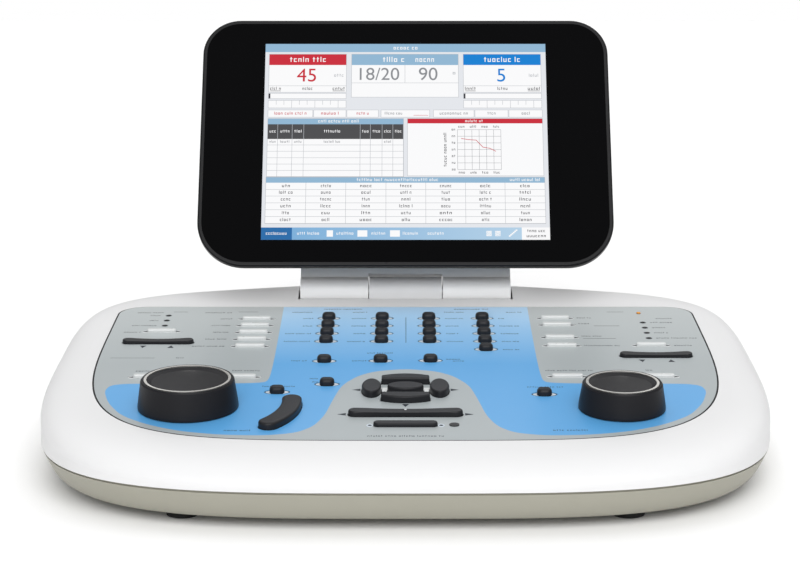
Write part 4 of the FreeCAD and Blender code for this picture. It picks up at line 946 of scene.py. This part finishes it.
# %% Results table and graph
TABLE_EDGES = (-102.5, -95.1, -84.3, -75.7, -33.7, -26.1, -17.4, -9.4, -1.6)
TABLE_ROWS = (75.3, 70.2, 65.0, 59.9, 54.8, 49.9)
TABLE_LEFT, TABLE_RIGHT, TABLE_LOW = TABLE_EDGES[0], TABLE_EDGES[-1], TABLE_ROWS[-1]
NAMES_ROW_LOW, TABLE_HEAD_LOW, TABLE_HEAD_HIGH = 80.1, 92.1, 96.6
TABLE_HEAD_MIDDLE, NAMES_ROW_MIDDLE, FILLED_ROW_MIDDLE = 94.4, 86.2, 77.8
WIDEST_WORD, COLUMN_SHARE = 12.0, 0.62
FILLED_COLUMNS = (0, 1, 2, 3, 6)
framed(TABLE_LEFT, TABLE_RIGHT, TABLE_LOW, TABLE_HEAD_HIGH)
area(HEAD, "sky", TABLE_LEFT, TABLE_RIGHT, TABLE_HEAD_LOW, TABLE_HEAD_HIGH)
says("white", -50, TABLE_HEAD_MIDDLE, 30, 2.4)
area(HEAD, "coal", TABLE_LEFT, TABLE_RIGHT, NAMES_ROW_LOW, TABLE_HEAD_LOW)
for i, (left, right) in enumerate(zip(TABLE_EDGES, TABLE_EDGES[1:])):
    wide = min(WIDEST_WORD, (right - left) * COLUMN_SHARE)
    says("white", (left + right) / 2, NAMES_ROW_MIDDLE, wide, 2.3)
    upright("rule", right, TABLE_LOW, TABLE_HEAD_LOW)
    if i in FILLED_COLUMNS:
        says("grey", (left + right) / 2, FILLED_ROW_MIDDLE, wide, 1.9)
for y in TABLE_ROWS:
    across("rule", TABLE_LEFT, TABLE_RIGHT, y)
GRAPH_BOX_LEFT, GRAPH_BOX_RIGHT, GRAPH_BOX_LOW = 1.6, 102.0, 50.7
GRAPH_HEAD_LOW, GRAPH_HEAD_MIDDLE = 92.8, 94.6
GRAPH_LEFT, GRAPH_RIGHT, GRAPH_LOW, GRAPH_HIGH = 38.6, 70.9, 55.5, 87.7
GRAPH_STEPS = 6
GRID_THICK = 0.25
GRAPH_WORDS, GRAPH_WORD_PITCH, GRAPH_WORD_INSET = 4, 8.6, 3
ABOVE_GRAPH, BELOW_GRAPH = 90.0, 53.0
GRAPH_LETTER = 2.0
framed(GRAPH_BOX_LEFT, GRAPH_BOX_RIGHT, GRAPH_BOX_LOW, TABLE_HEAD_HIGH)
area(HEAD, "red", GRAPH_BOX_LEFT, GRAPH_BOX_RIGHT, GRAPH_HEAD_LOW, TABLE_HEAD_HIGH)
says("white", 51, GRAPH_HEAD_MIDDLE, 13, 2.2)
for i in range(GRAPH_STEPS + 1):
    x = GRAPH_LEFT + (GRAPH_RIGHT - GRAPH_LEFT) * i / GRAPH_STEPS
    y = GRAPH_LOW + (GRAPH_HIGH - GRAPH_LOW) * i / GRAPH_STEPS
    upright("grey", x, GRAPH_LOW, GRAPH_HIGH, GRID_THICK)
    across("grey", GRAPH_LEFT, GRAPH_RIGHT, y, GRID_THICK)
    says("print", GRAPH_LEFT - GRAPH_WORD_INSET, y, 2.6, GRAPH_LETTER)
for i in range(GRAPH_WORDS):
    x = GRAPH_LEFT + GRAPH_WORD_INSET + i * GRAPH_WORD_PITCH
    says("print", x, ABOVE_GRAPH, 4.5, GRAPH_LETTER)
    says("print", x, BELOW_GRAPH, 4.5, GRAPH_LETTER)
says_upwards("print", 29.6, 71.5, 27, 2.4)
print("with the table and the graph:", sum(len(bars) for bars in sheets.values()), "areas")

# %% [markdown]
# Lower down, seven columns of short words are set in ruled rows. The status bar closes the page,
# with a dark first button, three white boxes, two small framed ones, a pen and a white field.

# %% Word table and status bar
WORD_EDGES = (-102.8, -73.4, -44.0, -14.4, 14.9, 44.2, 73.3, 102.6)
WORD_ROWS = (39.6, 34.4, 29.0, 23.6, 18.2, 12.8)
WORDS_LEFT, WORDS_RIGHT, WORDS_LOW = WORD_EDGES[0], WORD_EDGES[-1], WORD_ROWS[-1]
WORDS_HEAD_LOW, WORDS_HEAD_MIDDLE, WORDS_HEAD_HIGH = 45.0, 47.2, 49.3
ROW_MIDDLE = 2.7
STATUS_HIGH, FIRST_BUTTON_RIGHT, STATUS_FIELD_LEFT = 9.6, -83, 85
STATUS_WORDS = ((-94.5, 15), (-71.2, 16), (-44.3, 12.3), (-19.9, 10), (3.5, 11), (22, 11.6))
STATUS_FIELD_MIDDLE, STATUS_FIELD_WORDS = 95.5, ((6.8, 13), (2.8, 14))
STATUS_LETTER = 2.3
WHITE_BOXES, WHITE_BOX_LOW, WHITE_BOX_HIGH = ((-55.3, 2.3), (-31.5, 3.6), (-7.7, 3.6)), 2.4, 7.4
FRAMED_BOXES, FRAMED_HALF, FRAMED_LOW, FRAMED_HIGH = (61, 67.5), 2.0, 2.8, 7.0
PEN_TILES, PEN_LEFT, PEN_RIGHT, PEN_LOW, PEN_HIGH = 6, 75.5, 76.8, 2.4, 3.5
PEN_RISE = 0.9
framed(WORDS_LEFT, WORDS_RIGHT, WORDS_LOW, WORDS_HEAD_HIGH)
area(HEAD, "sky", WORDS_LEFT, WORDS_RIGHT, WORDS_HEAD_LOW, WORDS_HEAD_HIGH)
says("white", -6, WORDS_HEAD_MIDDLE, 60, 2.4)
says("white", 88, WORDS_HEAD_MIDDLE, 22, 2.4)
for y in WORD_ROWS:
    across("rule", WORDS_LEFT, WORDS_RIGHT, y)
    for left, right in zip(WORD_EDGES, WORD_EDGES[1:]):
        says("print", (left + right) / 2, y + ROW_MIDDLE, page_pick.uniform(5, 10), 2.5)
for x in WORD_EDGES[1:-1]:
    upright("rule", x, WORDS_LOW, WORDS_HEAD_LOW)
area(BOX, "bar", -HALF_PAGE, HALF_PAGE, 0, STATUS_HIGH)
area(HEAD, "navy", -HALF_PAGE, FIRST_BUTTON_RIGHT, 0, STATUS_HIGH)
area(HEAD, "white", STATUS_FIELD_LEFT, HALF_PAGE, 0, STATUS_HIGH)
for x, length in STATUS_WORDS:
    says("white", x, STATUS_HIGH / 2, length, STATUS_LETTER)
for x, half in WHITE_BOXES:
    area(HEAD, "white", x - half, x + half, WHITE_BOX_LOW, WHITE_BOX_HIGH)
for x in FRAMED_BOXES:
    framed(x - FRAMED_HALF, x + FRAMED_HALF, FRAMED_LOW, FRAMED_HIGH, "grey")
for i in range(PEN_TILES):
    rise = PEN_RISE * i
    area(RULE, "white", PEN_LEFT + i, PEN_RIGHT + i, PEN_LOW + rise, PEN_HIGH + rise)
for y, length in STATUS_FIELD_WORDS:
    says("print", STATUS_FIELD_MIDDLE, y, length, STATUS_LETTER)
print("whole page:", sum(len(bars) for bars in sheets.values()), "areas")

# %% [markdown]
# Now each level and colour becomes one thin sheet of tiles. The large readings are real numerals,
# made from text and turned into mesh, and the trace of the graph is a chain of turned tiles.

# %% Build the page
for (level, colour), bars in sorted(sheets.items()):
    low = SHEET_LOW + LAYER * level
    sheet = tiles("screen_%s_%d" % (colour, level), bars, low, low + LAYER, SCREEN)
    settle(sheet, "display", LIT[colour])
READING_HEIGHT = SHEET_LOW + LAYER * (PRINT + 0.5)
READINGS = (("45", -74, 131.8, 15.5, "red"), ("18/20", -20.8, 132.8, 14.5, "grey"),
            ("90", 17, 132.8, 15, "grey"), ("5", 72, 131.8, 15.5, "blue"))
TRACE = ((41.5, 80.5), (47, 79.6), (52.5, 79.2), (57.5, 73.5), (62.5, 72.6), (67, 70.2))
TRACE_THICK, TRACE_OVERLAP = 0.45, 0.3


def number(text, x, y, size, colour):
    """A reading in real numerals, from text made into mesh."""
    bpy.ops.object.text_add()
    piece = bpy.context.active_object
    piece.data.body = text
    piece.data.size = size
    piece.data.align_x = "CENTER"
    piece.data.align_y = "CENTER"
    piece.data.extrude = LAYER / 2
    bpy.ops.object.convert(target="MESH")
    piece = bpy.context.active_object
    piece.data.transform(SCREEN @ Matrix.Translation((x, y, READING_HEIGHT)))
    piece.name = "reading_" + text.replace("/", "_")
    settle(piece, "display", LIT[colour])


def trace_line(points):
    """The graph's line: one turned tile from each point to the next."""
    made = []
    for (x0, y0), (x1, y1) in zip(points, points[1:]):
        turn = Matrix.Rotation(math.atan2(y1 - y0, x1 - x0), 4, "Z")
        middle = Matrix.Translation(((x0 + x1) / 2, (y0 + y1) / 2, READING_HEIGHT))
        reach = math.hypot(x1 - x0, y1 - y0) + TRACE_OVERLAP
        stretch = Matrix.Diagonal((reach, TRACE_THICK, LAYER, 1))
        made.append(copy_of(TILE, SCREEN @ middle @ turn @ stretch))
    return join(made, "graph_trace")


for reading in READINGS:
    number(*reading)
settle(trace_line(TRACE), "display", LIT["red"])
print("screen sheets:", len(sheets))

# %% [markdown]
# The size of the dressed model, from the box round every shown piece but the floor.

# %% Sizes and finish
low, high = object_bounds()
print("size", [round(b - a, 4) for a, b in zip(low, high)])
